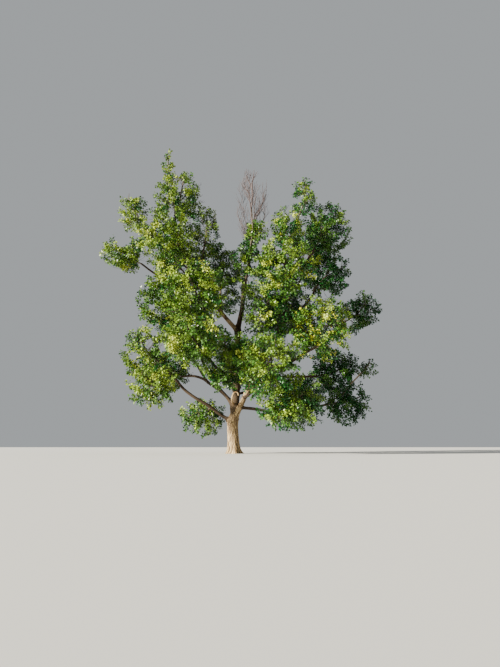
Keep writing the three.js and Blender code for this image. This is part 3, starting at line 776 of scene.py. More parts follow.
# %% Sprays, each rooted where it can be reached most directly
SPRAY_LAYERS = [(1.15, 0.72, 0.97), (0.45, 0.35, 0.68)]  # on each square metre of outside, and how far out
FEWEST_SPRAYS = 4
AREA_POWER = 1.6  # of the usual rule for an ellipsoid's area
TIP_SCATTER, DRAW_IN, TRIES = 0.06, 0.88, 5
ROOTS = np.linspace(0.15, 1, 10)  # where on a branch a spray may grow
LENGTH_COST, AHEAD_GAIN, OUTWARD_COST, NEAR_COST = 1.5, 0.6, 0.8, 1.0
TOO_NEAR, TOO_FAR_OUT = 0.3, 0.12
DROOP_HEIGHTS, DROOPS = [2.5, 5, 11], [-0.35, 0.35, 0.9]  # low sprays droop, and high ones rise
SPRAY_STEPS, SPRAY_FOLLOWS = 4, 0.7


def outside_of(mass):
    """The area of a mass's outside."""
    _, spread, height = MASSES[mass]
    mean = (spread ** (2 * AREA_POWER) + 2 * (spread * height) ** AREA_POWER) / 3
    return 4 * math.pi * mean ** (1 / AREA_POWER)


def spray_tips(mass, random):
    """Even places over the outside of a mass, and some half way out, drawn in to where there is room."""
    centre, spread, height = MASSES[mass]
    tips = []
    for density, low, high in SPRAY_LAYERS:
        count = max(FEWEST_SPRAYS, round(density * outside_of(mass)))
        directions = even_directions(count, random.uniform(0, ANY_TURN))
        reach = random.uniform(low, high, (count, 1))
        jitter = random.normal(0, TIP_SCATTER, directions.shape)
        for _ in range(TRIES):
            tip = centre + (directions + jitter) * (spread, spread, height) * reach
            full = ~has_room(mass, tip)
            reach[full] *= DRAW_IN
        tips.append(tip[~full])
    return np.vstack(tips)


def rooted_sprays(mass, parents, random):
    """A line for each spray, from the parent branch that reaches its tip most directly."""
    feet = np.vstack([at(line, ROOTS) for line in parents])
    ways = np.vstack([way_at(line, ROOTS) for line in parents])
    for tip in spray_tips(mass, random):
        reach = tip - feet
        distance = np.linalg.norm(reach, axis=1)
        along = (reach * ways).sum(1) / np.maximum(distance, 1e-6)
        outward = depth_in(mass, feet) > depth_in(mass, tip) - TOO_FAR_OUT
        cost = distance * (LENGTH_COST - AHEAD_GAIN * along)
        cost = cost + np.where(distance < TOO_NEAR, NEAR_COST, 0) + outward * OUTWARD_COST
        best = int(np.argmin(cost))
        lift = np.interp(tip[2], DROOP_HEIGHTS, DROOPS)
        direct = unit(reach[best])
        leaving, arriving = unit(direct + ways[best] * SPRAY_FOLLOWS), unit(direct + UP * lift)
        yield bend(feet[best], leaving, tip, arriving, SPRAY_STEPS), lift


print("outside of the left lobe:", round(outside_of("left_lobe"), 1), "square metres")

# %% Shoots round each spray, which make it a plume
SHOOT_RADIUS, SHOOT_END_RADIUS, DEAD_SHOOT_RADIUS = 0.0045, 0.002, 0.007
PLUME_LENGTH = 1.3  # how much of a spray, from its tip, is set with shoots
PLUME_FROM, PLUME_TO = 0.15, 0.98  # but never more of the spray than this
PLUME_MIDDLE, PLUME_SHAPE = 0.4, [0.8, 1.15, 0.6]  # shoots are longest a little way up the plume
FEWEST_SHOOTS = 4
SHOOT_SPACING, SHOOT_LENGTH, END_SHOOT = 0.08, 0.24, 0.7
SHOOT_WILD, SHOOT_SPLAY, SHOOT_LIFT = 0.15, 0.8, 0.2
SHORTEST_SHOOT, LONGEST_SHOOT = 0.75, 1.2
GOLD_SHARE = {"right_yellow": 0.1, "right_crest_left": 0.02}  # of a mass's shoots that have turned


def add_shoots(mass, spray, lift, random, tint):
    """Shoots round the outer part of a spray: leafy ones of its green, or dead ones if it has none."""
    start = max(PLUME_FROM, 1 - PLUME_LENGTH / length_of(spray))
    count = max(FEWEST_SHOOTS, round((1 - start) * length_of(spray) / SHOOT_SPACING))
    shares = np.linspace(start, PLUME_TO, count)
    feet, ways = at(spray, shares), way_at(spray, shares)
    side = unit(np.cross(ways, UP + 0.01))
    other = np.cross(side, ways)
    angle = np.arange(count) * GOLDEN + random.uniform(0, ANY_TURN)
    round_ways = side * np.cos(angle)[:, None] + other * np.sin(angle)[:, None]
    wild = random.normal(0, SHOOT_WILD, (count, 3))
    heads = unit(ways * SHOOT_SPLAY + round_ways * SHOOT_SPLAY + UP * lift * SHOOT_LIFT + wild)
    middle = PLUME_MIDDLE + (1 - PLUME_MIDDLE) * start
    tapered = np.interp(shares, [start, middle, 1], PLUME_SHAPE)
    feet = np.vstack([feet, spray[-1:]])
    heads = np.vstack([heads, unit(ways[-1:] + UP * lift * SHOOT_LIFT)])
    lengths = SHOOT_LENGTH * np.append(tapered, END_SHOOT)
    lengths = lengths * random.uniform(SHORTEST_SHOOT, LONGEST_SHOOT, len(feet))
    t = np.linspace(0, 1, 4)
    for foot, head, reach in zip(feet, heads, lengths):
        line = foot + head * reach * t[:, None] + UP * reach * SHOOT_LIFT * lift * (t**2)[:, None]
        if not has_room(mass, line[1:]).all():
            continue
        if tint:
            turned = random.uniform() < GOLD_SHARE.get(mass, 0)
            add_strand("shoot", line[[0, 3]], SHOOT_RADIUS, SHOOT_END_RADIUS)
            shoots.append((line, "leaf_gold" if turned else tint))
        else:
            add_strand("died_back", line[[0, 3]], DEAD_SHOOT_RADIUS, SHOOT_RADIUS)


print("shoots on a long spray:", round(PLUME_LENGTH / SHOOT_SPACING))

# %% [markdown]
# ## Dealing out the greens
#
# No two sprays of a real crown have the same green. Leaves in full sun are olive and yellowish, those in
# the shade are deep green, and in late summer a few shoots turn gold. A noise pattern over all the leaves
# could give that, but it slides over thousands of tiny faces and blurs when the tree is exported. So each
# spray is dealt one plain colour, more often a sunny one on the sunny side. That is partly the leaves' own
# colour and partly painted light and shade: sunlit sprays are dealt paler greens and shaded masses deeper
# ones.

# %% Which green a spray gets
TINTS = {
    "leaf_deep": "#073a0c",
    "leaf_shade": "#164814",
    "leaf_green": "#385c18",
    "leaf_olive": "#5a7620",
    "leaf_lime": "#7f962c",
    "leaf_pale": "#98a636",
    "leaf_gold": "#989c1f",
}
PALEST_GREEN = 5  # its place in that list; gold is dealt shoot by shoot
SUNNY_SIDE = unit(np.array([-0.8, -0.5, 0.4]))
CROWN_MIDDLE = np.array([0.0, 0.0, 9.5])
CROWN_HALF = np.array([10.0, 7.5, 11.0])
MIDDLE_TINT, SUN_TINT, TINT_SCATTER = 1.9, 1.4, 0.9
# Steps towards paler greens are partly the leaves' own yellowing and partly painted light on masses the sun
# reaches; negative steps, on masses in the crown's shadow, are painted shade.
PALER = {  # and darker where it is negative, in steps of the list
    "right_yellow": 0.55,
    "right_crest_left": 0.4,
    "right_heart": 0.3,
    "right_front": 0.5,
    "left_lobe": 0.3,
    "left_skirt": 0.4,
    "left_hanging": 0.9,
    "right_skirt": 0.6,
    "right_low": -0.1,
    "right_low_out": -0.1,
    "right_arm": -0.2,
    "back_right_low": -0.6,
}


def tint_for(mass, tip, random):
    """The green of a spray, by how far its tip is on the sunny side, by its mass and by chance."""
    # Painted light and shade: sprays on the sunny side of the crown get paler greens, those on the far side
    # deeper ones.
    sun = float((tip - CROWN_MIDDLE) / CROWN_HALF @ SUNNY_SIDE)
    rank = MIDDLE_TINT + SUN_TINT * sun + PALER.get(mass, 0) + random.normal(0, TINT_SCATTER)
    return list(TINTS)[int(np.clip(round(rank), 0, PALEST_GREEN))]


print(len(TINTS), "tints, the middle one", list(TINTS)[round(MIDDLE_TINT)])

# %% Grow every mass
TWIG_RADIUS, TWIG_END_RADIUS = 0.036, 0.012
SPRAY_RADIUS, SPRAY_END_RADIUS = 0.011, 0.005
LEADER_STEPS, LEADER_FOLLOWS, LEADER_REACH = 6, 0.4, 0.85
CROWN_INSIDE = 0.3  # sprays nearer to the middle of the crown than this are thinned by the shade
THINNED = 0.5
DIED_BACK = {"left_inner": 0.4, "left_core": 0.08, "left_crest": 0.12}  # shares of sprays


def grow_leafy(mass):
    """A mass's stem with its leader, its branches, their sprays and the shoots on those."""
    random = np.random.default_rng([ord(letter) for letter in mass])
    stem, foot_radius = stem_of(mass)
    centre, spread, height = MASSES[mass]
    upward = unit(way_at(stem, 1.0) + UP * LEADER_FOLLOWS)
    top = centre + upward * (spread, spread, height) * LEADER_REACH
    leader = bend(stem[-1], way_at(stem, 1.0), top, UP, LEADER_STEPS)
    branches = branches_of(mass, stem)
    add_strand("branch", at(stem, np.linspace(0, 1, STEM_STEPS + 1)), foot_radius, STEM_TIP_RADIUS)
    add_strand("branch", leader, STEM_TIP_RADIUS * STEM_SHARE, TWIG_END_RADIUS)
    for line in branches:
        add_strand("branch", line, TWIG_RADIUS, TWIG_END_RADIUS)
    for line, lift in rooted_sprays(mass, [stem, leader] + branches, random):
        deep = np.linalg.norm((line[-1] - CROWN_MIDDLE) / CROWN_HALF)
        if deep < CROWN_INSIDE and random.uniform() < THINNED:
            continue
        dead = random.uniform() < DIED_BACK.get(mass, 0)
        add_strand("died_back" if dead else "spray", line, SPRAY_RADIUS, SPRAY_END_RADIUS)
        add_shoots(mass, line, lift, random, None if dead else tint_for(mass, line[-1], random))


for mass in MASSES:
    if mass != BARE:
        grow_leafy(mass)
print({order: len(rows) for order, rows in strands.items()}, "leafy shoots", len(shoots))

# %% [markdown]
# ## The dead top
#
# The middle stem has died back: its top holds only bare, greyish twigs that stand steeply, as they did when
# they were alive. Dead wood keeps its finest twigs for a few years, so it is grown by the same rule with no
# leaves, one order finer at each step.

# %% Bare twigs that branch twice more
BARE_SEED = 11
BARE_TOP = np.array([0.05, 0, 0.97])  # of the mass's half height, from its middle
BARE_SHOOTS_FROM = 0.93  # share of the trunk's length
BARE_SHOOTS = [(0.15, -0.3, 17.5), (0.5, -0.6, 18.6), (0.55, 0.2, 16.6), (2.2, -0.2, 17.2)]  # their tips
BARE_RADII = {  # at the foot and at the tip
    "stem": (0.075, 0.065),
    "leader": (0.065, 0.018),
    "long shoot": (0.03, 0.012),
    "branch": (0.05, 0.016),
    "twig": (0.018, 0.008),
    "twiglet": (0.009, 0.006),
}
SIDE_TWIGS, TWIGLETS = (10, 1.0, 0.5), (5, 0.45, 0.4)  # how many, how long and how steep
TWIGS_FROM, TWIGS_TO = 0.25, 0.95  # shares of the parent
TWIG_ALONG, TWIG_OUT, TWIG_UP = 0.8, 0.55, 0.5
SHORTEST_TWIG, LONGEST_TWIG, BARE_STEPS = 0.6, 1.25, 4


def side_twigs(line, random, count, length, steep):
    """Shorter twigs along a bare one, turned steeply up."""
    shares = np.linspace(TWIGS_FROM, TWIGS_TO, count)
    feet, ways = at(line, shares), way_at(line, shares)
    turn = random.uniform(0, ANY_TURN, count)
    out = np.stack([np.cos(turn), np.sin(turn), np.zeros(count)], -1)
    heads = unit(ways * TWIG_ALONG + out * TWIG_OUT + UP * steep)
    for foot, head, size in zip(feet, heads, length * random.uniform(SHORTEST_TWIG, LONGEST_TWIG, count)):
        tip = foot + head * size
        if depth_in(BARE, tip) < REACH_LIMIT:
            yield bend(foot, head, tip, unit(head + UP * TWIG_UP), BARE_STEPS)


def grow_bare():
    """The dead stem with its leader, long shoots and every other branch, and two finer orders on them."""
    random = np.random.default_rng(BARE_SEED)
    stem, foot_radius = stem_of(BARE)
    centre, _, height = MASSES[BARE]
    leader = bend(stem[-1], way_at(stem, 1.0), np.array(centre) + BARE_TOP * height, UP, LEADER_STEPS)
    widest, stem_end = BARE_RADII["stem"]
    add_strand("dead", at(stem, np.linspace(0, 1, STEM_STEPS + 1)), min(foot_radius, widest), stem_end)
    add_strand("dead", leader, *BARE_RADII["leader"])
    below = at(trunk_line, BARE_SHOOTS_FROM)
    long_shoots = [bend(below, UP, np.array(tip), UP, STEM_STEPS) for tip in BARE_SHOOTS]
    branches = branches_of(BARE, stem)[::2]
    for kind, lines in (("long shoot", long_shoots), ("branch", branches)):
        for line in lines:
            add_strand("dead", line, *BARE_RADII[kind])
    for line in long_shoots + branches + [leader]:
        for twig in side_twigs(line, random, *SIDE_TWIGS):
            add_strand("dead", twig, *BARE_RADII["twig"])
            for twiglet in side_twigs(twig, random, *TWIGLETS):
                add_strand("dead", twiglet, *BARE_RADII["twiglet"])


grow_bare()
print("dead top:", len(strands["dead"]), "bare twigs")

# %% [markdown]
# ## Lines into wood and leaves
#
# Thousands of strands are too many to model one at a time and too many to keep as curve objects. Geometry
# Nodes turn them all at once: one tree of nodes draws a tube along every line, as thick as the line says,
# and another walks along every shoot, stops at each internode and sets a leaf there, turned by the golden
# angle from the one before. Both are kept as plain meshes afterwards, so that nothing has to be worked out
# again.

# %% A mesh of bare lines
def line_object(name, lines, radii=None):
    """All lines as one mesh of edges, with the wood's radius at each point."""
    counts = np.array([len(line) for line in lines])
    starts = np.concatenate([[0], np.cumsum(counts)[:-1]])
    points = np.vstack(lines)
    first = np.ones(len(points), bool)
    first[starts + counts - 1] = False
    begins = np.nonzero(first)[0]
    mesh = bpy.data.meshes.new(name)
    mesh.vertices.add(len(points))
    mesh.vertices.foreach_set("co", points.ravel())
    mesh.edges.add(len(begins))
    mesh.edges.foreach_set("vertices", np.stack([begins, begins + 1], -1).ravel())
    if radii is not None:
        add_values(mesh, "thickness", radii)
    mesh.update()
    return set_in_scene(name, mesh)


print("lines to draw:", sum(len(rows) for rows in strands.values()))

# %% Adding nodes, and keeping what they make
def fill(tree, node, inputs):
    """Give a node's inputs, by name or number: a value, a socket, or a node for its first output."""
    for name, value in inputs.items():
        if isinstance(value, bpy.types.Node):
            value = value.outputs[0]
        if isinstance(value, bpy.types.NodeSocket):
            tree.links.new(value, node.inputs[name])
        else:
            node.inputs[name].default_value = value


def add_node(tree, kind, settings=None, inputs=None):
    """One node with its settings and its inputs."""
    node = tree.nodes.new(kind)
    for name, value in (settings or {}).items():
        setattr(node, name, value)
    fill(tree, node, inputs or {})
    return node


def new_tree(name, inputs):
    """A tree of Geometry Nodes with a geometry in and out, and named inputs with their socket types."""
    tree = bpy.data.node_groups.new(name, "GeometryNodeTree")
    tree.interface.new_socket("Geometry", in_out="INPUT", socket_type="NodeSocketGeometry")
    for label, kind in inputs.items():
        tree.interface.new_socket(label, in_out="INPUT", socket_type="NodeSocket" + kind)
    tree.interface.new_socket("Geometry", in_out="OUTPUT", socket_type="NodeSocketGeometry")
    return tree, tree.nodes.new("NodeGroupInput")


def finish_tree(tree, made, material):
    """End a tree of nodes with real, painted geometry."""
    real = add_node(tree, "GeometryNodeRealizeInstances", inputs={"Geometry": made})
    painted = add_node(tree, "GeometryNodeSetMaterial", inputs={"Geometry": real, "Material": material})
    add_node(tree, "NodeGroupOutput", inputs={"Geometry": painted})
    print("tree of nodes:", tree.name, len(tree.nodes), "nodes")


def kept_mesh(name, source, tree, values):
    """What a tree of nodes makes from an object, as a plain object of its own."""
    modifier = source.modifiers.new(tree.name, "NODES")
    modifier.node_group = tree
    for item in tree.interface.items_tree:
        if item.in_out == "INPUT" and item.name in values:
            modifier[item.identifier] = values[item.name]
    made = source.evaluated_get(bpy.context.evaluated_depsgraph_get())
    mesh = bpy.data.meshes.new_from_object(made)
    source.modifiers.remove(modifier)
    bpy.data.objects.remove(source)
    return set_in_scene(name, mesh)


# %% Nodes that turn lines into tapering tubes
tube_tree, given = new_tree("lines_to_wood", {"Sides": "Int", "Bark": "Material"})
curves = add_node(tube_tree, "GeometryNodeMeshToCurve", inputs={"Mesh": given})
thickness = add_node(
    tube_tree, "GeometryNodeInputNamedAttribute", {"data_type": "FLOAT"}, {"Name": "thickness"}
)
ring_inputs = {"Resolution": given.outputs["Sides"], "Radius": 1.0}
ring = add_node(tube_tree, "GeometryNodeCurvePrimitiveCircle", {"mode": "RADIUS"}, ring_inputs)
tube_inputs = {"Curve": curves, "Profile Curve": ring, "Scale": thickness.outputs["Attribute"]}
tube = add_node(tube_tree, "GeometryNodeCurveToMesh", inputs={**tube_inputs, "Fill Caps": True})
smooth = add_node(tube_tree, "GeometryNodeSetShadeSmooth", inputs={"Geometry": tube})
finish_tree(tube_tree, smooth, given.outputs["Bark"])

# %% [markdown]
# ## One leaf
#
# A cottonwood leaf is a triangle with rounded shoulders, as broad as it is long, on a flat stalk that lets
# it hang and flutter. It could be a picture on a card, but a picture has to be cut out by its transparency.
# Four faces, folded a little along the midrib, give the true outline, and a fifth makes the stalk.

# %% The leaf's mesh: stalk, then two folded halves
LEAF_OUTLINE = [(0.0, 0.35), (0.47, 0.43), (0.36, 0.83), (0.0, 1.35)]
FOLD = 0.13
STALK_WIDTH = 0.03
LEAF_FACES = [(0, 1, 2), (2, 4, 5), (2, 5, 3), (2, 7, 6), (2, 3, 7)]


def leaf_mesh():
    """A leaf of length about 1 that points along +Y, with its halves folded up."""
    base, corner, shoulder, tip = LEAF_OUTLINE
    places = [(-STALK_WIDTH, 0, 0), (STALK_WIDTH, 0, 0), (*base, 0), (*tip, 0)]
    for side in (1, -1):
        places += [(side * x, y, FOLD * x / corner[0]) for x, y in (corner, shoulder)]
    mesh = bpy.data.meshes.new("cottonwood_leaf")
    mesh.from_pydata(places, [], LEAF_FACES)
    mesh.update()
    return mesh


leaf = set_in_scene("cottonwood_leaf", leaf_mesh())
print("one leaf:", triangles(leaf), "triangles")

# %% Nodes that set leaves along the shoots
FORWARD = 0.55  # how far stalks lean towards the shoot's tip
HANGS_LOW, HANGS_HIGH = (-0.5, -0.5, -1.0), (0.5, 0.5, 0.1)
FACES_LOW, FACES_HIGH = (-1.0, -1.0, 0.1), (0.8, 0.6, 1.2)
SMALLEST, LARGEST = 0.75, 1.15

leaf_inputs = {"Leaf": "Object", "Internode": "Float", "Blade": "Float", "Seed": "Int", "Colour": "Material"}
leaf_tree, given = new_tree("shoots_to_leaves", leaf_inputs)
seed = given.outputs["Seed"]
curves = add_node(leaf_tree, "GeometryNodeMeshToCurve", inputs={"Mesh": given})
stop_inputs = {"Curve": curves, "Length": given.outputs["Internode"]}
stops = add_node(leaf_tree, "GeometryNodeResampleCurve", {"mode": "LENGTH"}, stop_inputs)
way = add_node(leaf_tree, "GeometryNodeInputTangent")
side = add_node(leaf_tree, "GeometryNodeInputNormal")
index = add_node(leaf_tree, "GeometryNodeInputIndex")
turn = add_node(leaf_tree, "ShaderNodeMath", {"operation": "MULTIPLY"}, {0: index, 1: GOLDEN})
out = add_node(
    leaf_tree,
    "ShaderNodeVectorRotate",
    {"rotation_type": "AXIS_ANGLE"},
    {"Vector": side, "Axis": way, "Angle": turn},
)
forward = add_node(
    leaf_tree, "ShaderNodeVectorMath", {"operation": "MULTIPLY_ADD"}, {0: way, 1: (FORWARD,) * 3, 2: out}
)
wobble = add_node(
    leaf_tree,
    "FunctionNodeRandomValue",
    {"data_type": "FLOAT_VECTOR"},
    {"Min": HANGS_LOW, "Max": HANGS_HIGH, "Seed": seed},
)
hanging = add_node(leaf_tree, "ShaderNodeVectorMath", {"operation": "ADD"}, {0: forward, 1: wobble})
pointed = add_node(leaf_tree, "FunctionNodeAlignRotationToVector", {"axis": "Y"}, {"Vector": hanging})
facing = add_node(
    leaf_tree,
    "FunctionNodeRandomValue",
    {"data_type": "FLOAT_VECTOR"},
    {"Min": FACES_LOW, "Max": FACES_HIGH, "Seed": seed, "ID": index},
)
turned = add_node(
    leaf_tree,
    "FunctionNodeAlignRotationToVector",
    {"axis": "Z", "pivot_axis": "Y"},
    {"Rotation": pointed, "Vector": facing},
)
size = add_node(
    leaf_tree, "FunctionNodeRandomValue", {"data_type": "FLOAT"}, {2: SMALLEST, 3: LARGEST, "Seed": seed}
)
blade_inputs = {0: size.outputs[1], 1: given.outputs["Blade"]}
blade = add_node(leaf_tree, "ShaderNodeMath", {"operation": "MULTIPLY"}, blade_inputs)
template = add_node(leaf_tree, "GeometryNodeObjectInfo", inputs={"Object": given.outputs["Leaf"]})
set_inputs = {"Points": stops, "Instance": template.outputs["Geometry"], "Rotation": turned, "Scale": blade}
leaves = add_node(leaf_tree, "GeometryNodeInstanceOnPoints", inputs=set_inputs)
finish_tree(leaf_tree, leaves, given.outputs["Colour"])

# %% [markdown]
# ## Bark, dead wood and leaves as materials
#
# The furrows are geometry, so the bark material adds what is finer: the grain of the cork, its dark cracks
# and the pale weathered crests. It also paints shade, darker deep in the furrows and on the limbs above the
# fork, and paints light, paler on the leaders that stand in the sun. It reads the limb's own coordinates, in
# metres round and along it, so the pattern always runs with the wood. Leaves are waxy, so they are slightly
# glossy, and each of their greens is one plain colour.

# %% Colours from sRGB, and a material with its surface
def linear(hex_colour):
    """A colour as Blender wants it, from its usual sRGB hex value."""
    channels = [int(hex_colour[i : i + 2], 16) / 255 for i in (1, 3, 5)]
    return tuple(c / 12.92 if c <= 0.04045 else ((c + 0.055) / 1.055) ** 2.4 for c in channels) + (1.0,)


def new_material(name):
    """A material, with its tree of nodes and the node for its surface."""
    material = bpy.data.materials.new(name)
    material.use_nodes = True
    return material, material.node_tree, material.node_tree.nodes["Principled BSDF"]


print("middle green:", [round(c, 3) for c in linear(TINTS["leaf_green"])[:3]])

# %% Furrowed cork bark
CORK_ROUND, CORK_ALONG = 100 * MM, 500 * MM  # the cork's grain, which runs with the wood
CORK_BUMP = 12 * MM
CORK_TONES = [(0.38, "#5e452d"), (0.6, "#c3a87c")]  # cracks and crests, and where in the grain they begin
# The young skin is the real dark skin of young limbs, deepened as painted shade; the furrow tone is painted
# shade in the furrows' depths.
SHADED_YOUNG_SKIN, FURROW_SHADE = "#3a2e21", "#2c2117"
SHADED_FROM, SHADED_TO, DEEPEST_SHADE = 0.2, 0.7, 0.9  # shares of the furrow's depth, and of its shade


def bark_material():
    """Cottonwood cork: dull, pale crests over dark brown cracks, and a smooth dark skin on young limbs;
    painted shade darkens the furrows and the limbs above the fork, and painted light pales the sunlit
    leaders.
    """
    material, tree, surface = new_material("cottonwood_cork_bark")
    coordinates = add_node(tree, "ShaderNodeUVMap", {"uv_map": "bark"})
    grain = {"Vector": coordinates, "Scale": (1 / CORK_ROUND, 1 / CORK_ALONG, 1.0)}  # long up the limb
    along = add_node(tree, "ShaderNodeMapping", inputs=grain)
    pattern = {"Vector": along, "Scale": 1.0, "Detail": 7.0, "Roughness": 0.62, "Distortion": 0.6}
    cork = add_node(tree, "ShaderNodeTexNoise", {"noise_dimensions": "2D"}, pattern)
    crests = add_node(tree, "ShaderNodeValToRGB", inputs={"Fac": cork})
    for end, (place, colour) in zip(crests.color_ramp.elements, CORK_TONES):
        end.position, end.color = place, linear(colour)
    # Painted light and shade: the age attribute also darkens the limbs above the fork and pales the sunlit
    # leaders.
    age_and_painted_light = add_node(tree, "ShaderNodeAttribute", {"attribute_name": "age_and_painted_light"})
    skin_and_painted_light = {0: age_and_painted_light.outputs["Fac"], 6: linear(SHADED_YOUNG_SKIN), 7: crests}
    weathered_and_lit = add_node(tree, "ShaderNodeMix", {"data_type": "RGBA"}, skin_and_painted_light)
    # Painted shade: the bark's colour darkens towards the bottom of each furrow.
    furrow = add_node(tree, "ShaderNodeAttribute", {"attribute_name": "furrow"})
    shade = {"Value": furrow.outputs["Fac"], "From Min": SHADED_FROM, "From Max": SHADED_TO}
    depth = add_node(tree, "ShaderNodeMapRange", inputs={**shade, "To Min": 0.0, "To Max": DEEPEST_SHADE})
    shaded_in_furrows = {0: depth, 6: weathered_and_lit.outputs[2], 7: linear(FURROW_SHADE)}
    furrowed = add_node(tree, "ShaderNodeMix", {"data_type": "RGBA"}, shaded_in_furrows)
    bump = add_node(tree, "ShaderNodeBump", inputs={"Strength": 0.7, "Distance": CORK_BUMP, "Height": cork})
    dull = {"Roughness": 0.92, "Specular IOR Level": 0.25}
    fill(tree, surface, {"Base Color": furrowed.outputs[2], "Normal": bump, **dull})
    return material


bark = bark_material()
wood.data.materials.append(bark)
print(bark.name, len(bark.node_tree.nodes), "nodes")

# %% Twig bark and weathered dead wood
FLECKS_FROM, FLECKS_TO = 0.35, 0.65  # where in the pattern the dark tone ends and the light one begins
TWIG_BUMP = 3 * MM


def twig_material(name, dark, light, grain, roughness):
    """Thin bark: one tone broken by finer lighter lenticels."""
    material, tree, surface = new_material(name)
    coordinates = add_node(tree, "ShaderNodeTexCoord")
    pattern = {"Vector": coordinates.outputs["Object"], "Scale": 1 / grain, "Detail": 3.0}
    fleck = add_node(tree, "ShaderNodeTexNoise", inputs=pattern)
    tones = add_node(tree, "ShaderNodeValToRGB", inputs={"Fac": fleck})
    for end, place, colour in zip(tones.color_ramp.elements, (FLECKS_FROM, FLECKS_TO), (dark, light)):
        end.position, end.color = place, linear(colour)
    bump = add_node(tree, "ShaderNodeBump", inputs={"Strength": 0.4, "Distance": TWIG_BUMP, "Height": fleck})
    fill(tree, surface, {"Base Color": tones, "Normal": bump, "Roughness": roughness})
    return material


twig_bark = twig_material("olive_brown_twig_bark", "#352c20", "#574b36", 15 * MM, 0.75)
dead_wood = twig_material("weathered_dead_twigs", "#352c2c", "#645655", 20 * MM, 0.85)
print(twig_bark.name, "and", dead_wood.name)

# %% Waxy leaves
DUST = 120 * MM  # dust dulls the leaves in patches of this size
GLOSSY, DUSTY = 0.28, 0.5


def leaf_material(name, hex_colour):
    """A waxy leaf: one plain green with a soft shine, a little uneven as leaves are dusty in late summer."""
    material, tree, surface = new_material(name)
    coordinates = add_node(tree, "ShaderNodeTexCoord")
    patches = {"Vector": coordinates.outputs["Object"], "Scale": 1 / DUST, "Detail": 1.0}
    dust = add_node(tree, "ShaderNodeTexNoise", inputs=patches)
    shine = {"Value": dust, "From Min": 0.3, "From Max": 0.7, "To Min": GLOSSY, "To Max": DUSTY}
    roughness = add_node(tree, "ShaderNodeMapRange", inputs=shine)
    colour = linear(hex_colour)
    fill(tree, surface, {"Base Color": colour, "Specular IOR Level": 0.3, "Roughness": roughness})
    return material


greens = {name: leaf_material(name, colour) for name, colour in TINTS.items()}
print("materials:", len(bpy.data.materials))

# %% Draw all the wood finer than a bough
ORDERS = {  # the name of its piece, the sides of its tubes, and its bark
    "branch": ("branches", 6, twig_bark),
    "spray": ("sprays", 3, twig_bark),
    "shoot": ("shoots", 3, twig_bark),
    "died_back": ("died_back_twigs", 3, dead_wood),
    "dead": ("dead_top_twigs", 5, dead_wood),
}
PIECE_MOST = 190_000  # triangles
twigs = []
for order, (label, sides, material) in ORDERS.items():
    total = sum(2 * sides * (len(line) - 1) + 2 * (sides - 2) for line, _ in strands[order])
    parts = math.ceil(total / PIECE_MOST)
    for part in range(parts):
        lines, radii = zip(*strands[order][part::parts])
        name = label if parts == 1 else f"{label}_{part + 1}"
        source = line_object(name + "_lines", lines, radii)
        piece = kept_mesh(name, source, tube_tree, {"Sides": sides, "Bark": material})
        twigs.append((order, piece))
        print(name, triangles(piece), "triangles")

# %% Set the leaves, in pieces by colour
BLADE = 0.145
INTERNODE = 0.048  # length of shoot from one leaf to the next
BARE_FOOT = 0.15  # share of a shoot, from its foot, that has no leaves
FIRST_SEED = 5


def leaf_count(line):
    """How many leaves a shoot will hold."""
    return int(length_of(line) * (1 - BARE_FOOT) / INTERNODE) + 1


leafy = []
for name, material in greens.items():
    lines = [line for line, tint in shoots if tint == name]
    total = sum(leaf_count(line) for line in lines) * len(LEAF_FACES)
    parts = max(1, math.ceil(total / PIECE_MOST))
    for part in range(parts):
        mine = [at(line, np.linspace(BARE_FOOT, 1, 4)) for line in lines[part::parts]]
        source = line_object(name + "_lines", mine)
        values = {"Leaf": leaf, "Internode": INTERNODE, "Blade": BLADE, "Seed": FIRST_SEED + part}
        piece = kept_mesh(f"{name}_{part + 1}", source, leaf_tree, {**values, "Colour": material})
        leafy.append(piece)
        print(piece.name, triangles(piece), "triangles")
bpy.data.objects.remove(leaf)
print("leaves:", sum(triangles(piece) for piece in leafy) // len(LEAF_FACES))

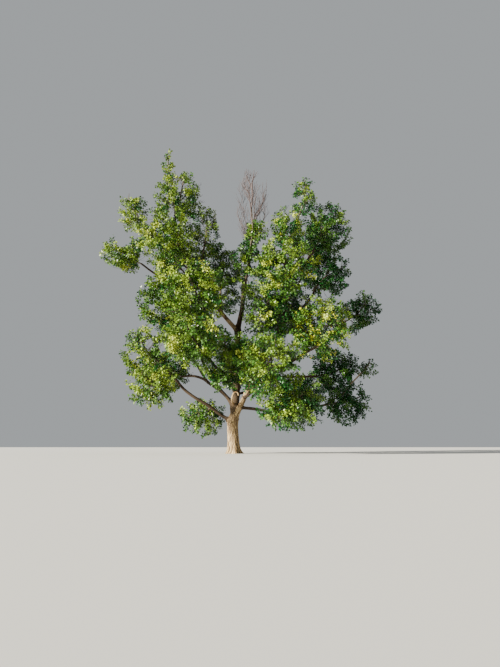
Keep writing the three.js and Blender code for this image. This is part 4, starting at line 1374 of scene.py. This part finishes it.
# %% [markdown]
# ## Floor and light
#
# The tree stands on a plain pale floor. The photograph has low, warm sun from the left and a little in
# front, which models the crown by lighting the left of every mass. A large soft sun from the same side does
# that here, with a pale even sky to fill the shade.

# %% Floor, sky and key light
FLOOR_HALF = 90.0
SUN_FROM = Vector((-0.86, -0.46, 0.26))
SUN_ENERGY, SUN_WIDTH, SUN_COLOUR = 19.5, math.radians(4), (1.0, 0.95, 0.83)
SKY_COLOUR, SKY_STRENGTH = (0.92, 0.97, 1.0, 1), 0.42

corners = [(x * FLOOR_HALF, y * FLOOR_HALF, 0) for x, y in ((-1, -1), (1, -1), (1, 1), (-1, 1))]
floor_mesh = bpy.data.meshes.new("floor")
floor_mesh.from_pydata(corners, [], [(0, 1, 2, 3)])
floor = set_in_scene("floor", floor_mesh)
floor_paint, floor_tree, floor_surface = new_material("pale_floor")
fill(floor_tree, floor_surface, {"Base Color": linear("#d8d6d0"), "Roughness": 0.9})
floor_mesh.materials.append(floor_paint)

sun = bpy.data.lights.new("soft_key", "SUN")
sun.energy, sun.angle, sun.color = SUN_ENERGY, SUN_WIDTH, SUN_COLOUR
set_in_scene("soft_key", sun).rotation_euler = SUN_FROM.to_track_quat("Z", "Y").to_euler()

world = bpy.data.worlds.new("pale_sky")
world.use_nodes = True
fill(world.node_tree, world.node_tree.nodes["Background"], {"Color": SKY_COLOUR, "Strength": SKY_STRENGTH})
bpy.context.scene.world = world
print("floor", 2 * FLOOR_HALF, "m; key light from", tuple(round(v, 2) for v in SUN_FROM))

# %% [markdown]
# ## The pieces in place
#
# Each dressed piece hides the plain solids that it stands for. Nothing on a rooted tree moves, so everything
# rides on the one body.

# %% Ride and replace
leafy_nodes = ["foliage_" + mass for mass in MASSES if mass != BARE]
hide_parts("trunk", *BOUGHS)
for order, piece in twigs:
    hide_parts(*([BARE] if order == "dead" else leafy_nodes))
for piece in leafy:
    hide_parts(*leafy_nodes)
pieces = [wood, *(piece for _, piece in twigs), *leafy]
for piece in pieces:
    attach(piece, "root")
print("all pieces:", sum(triangles(piece) for piece in pieces), "triangles")

print("solids", [round(v, 2) for v in CAD_LOW], [round(v, 2) for v in CAD_HIGH])
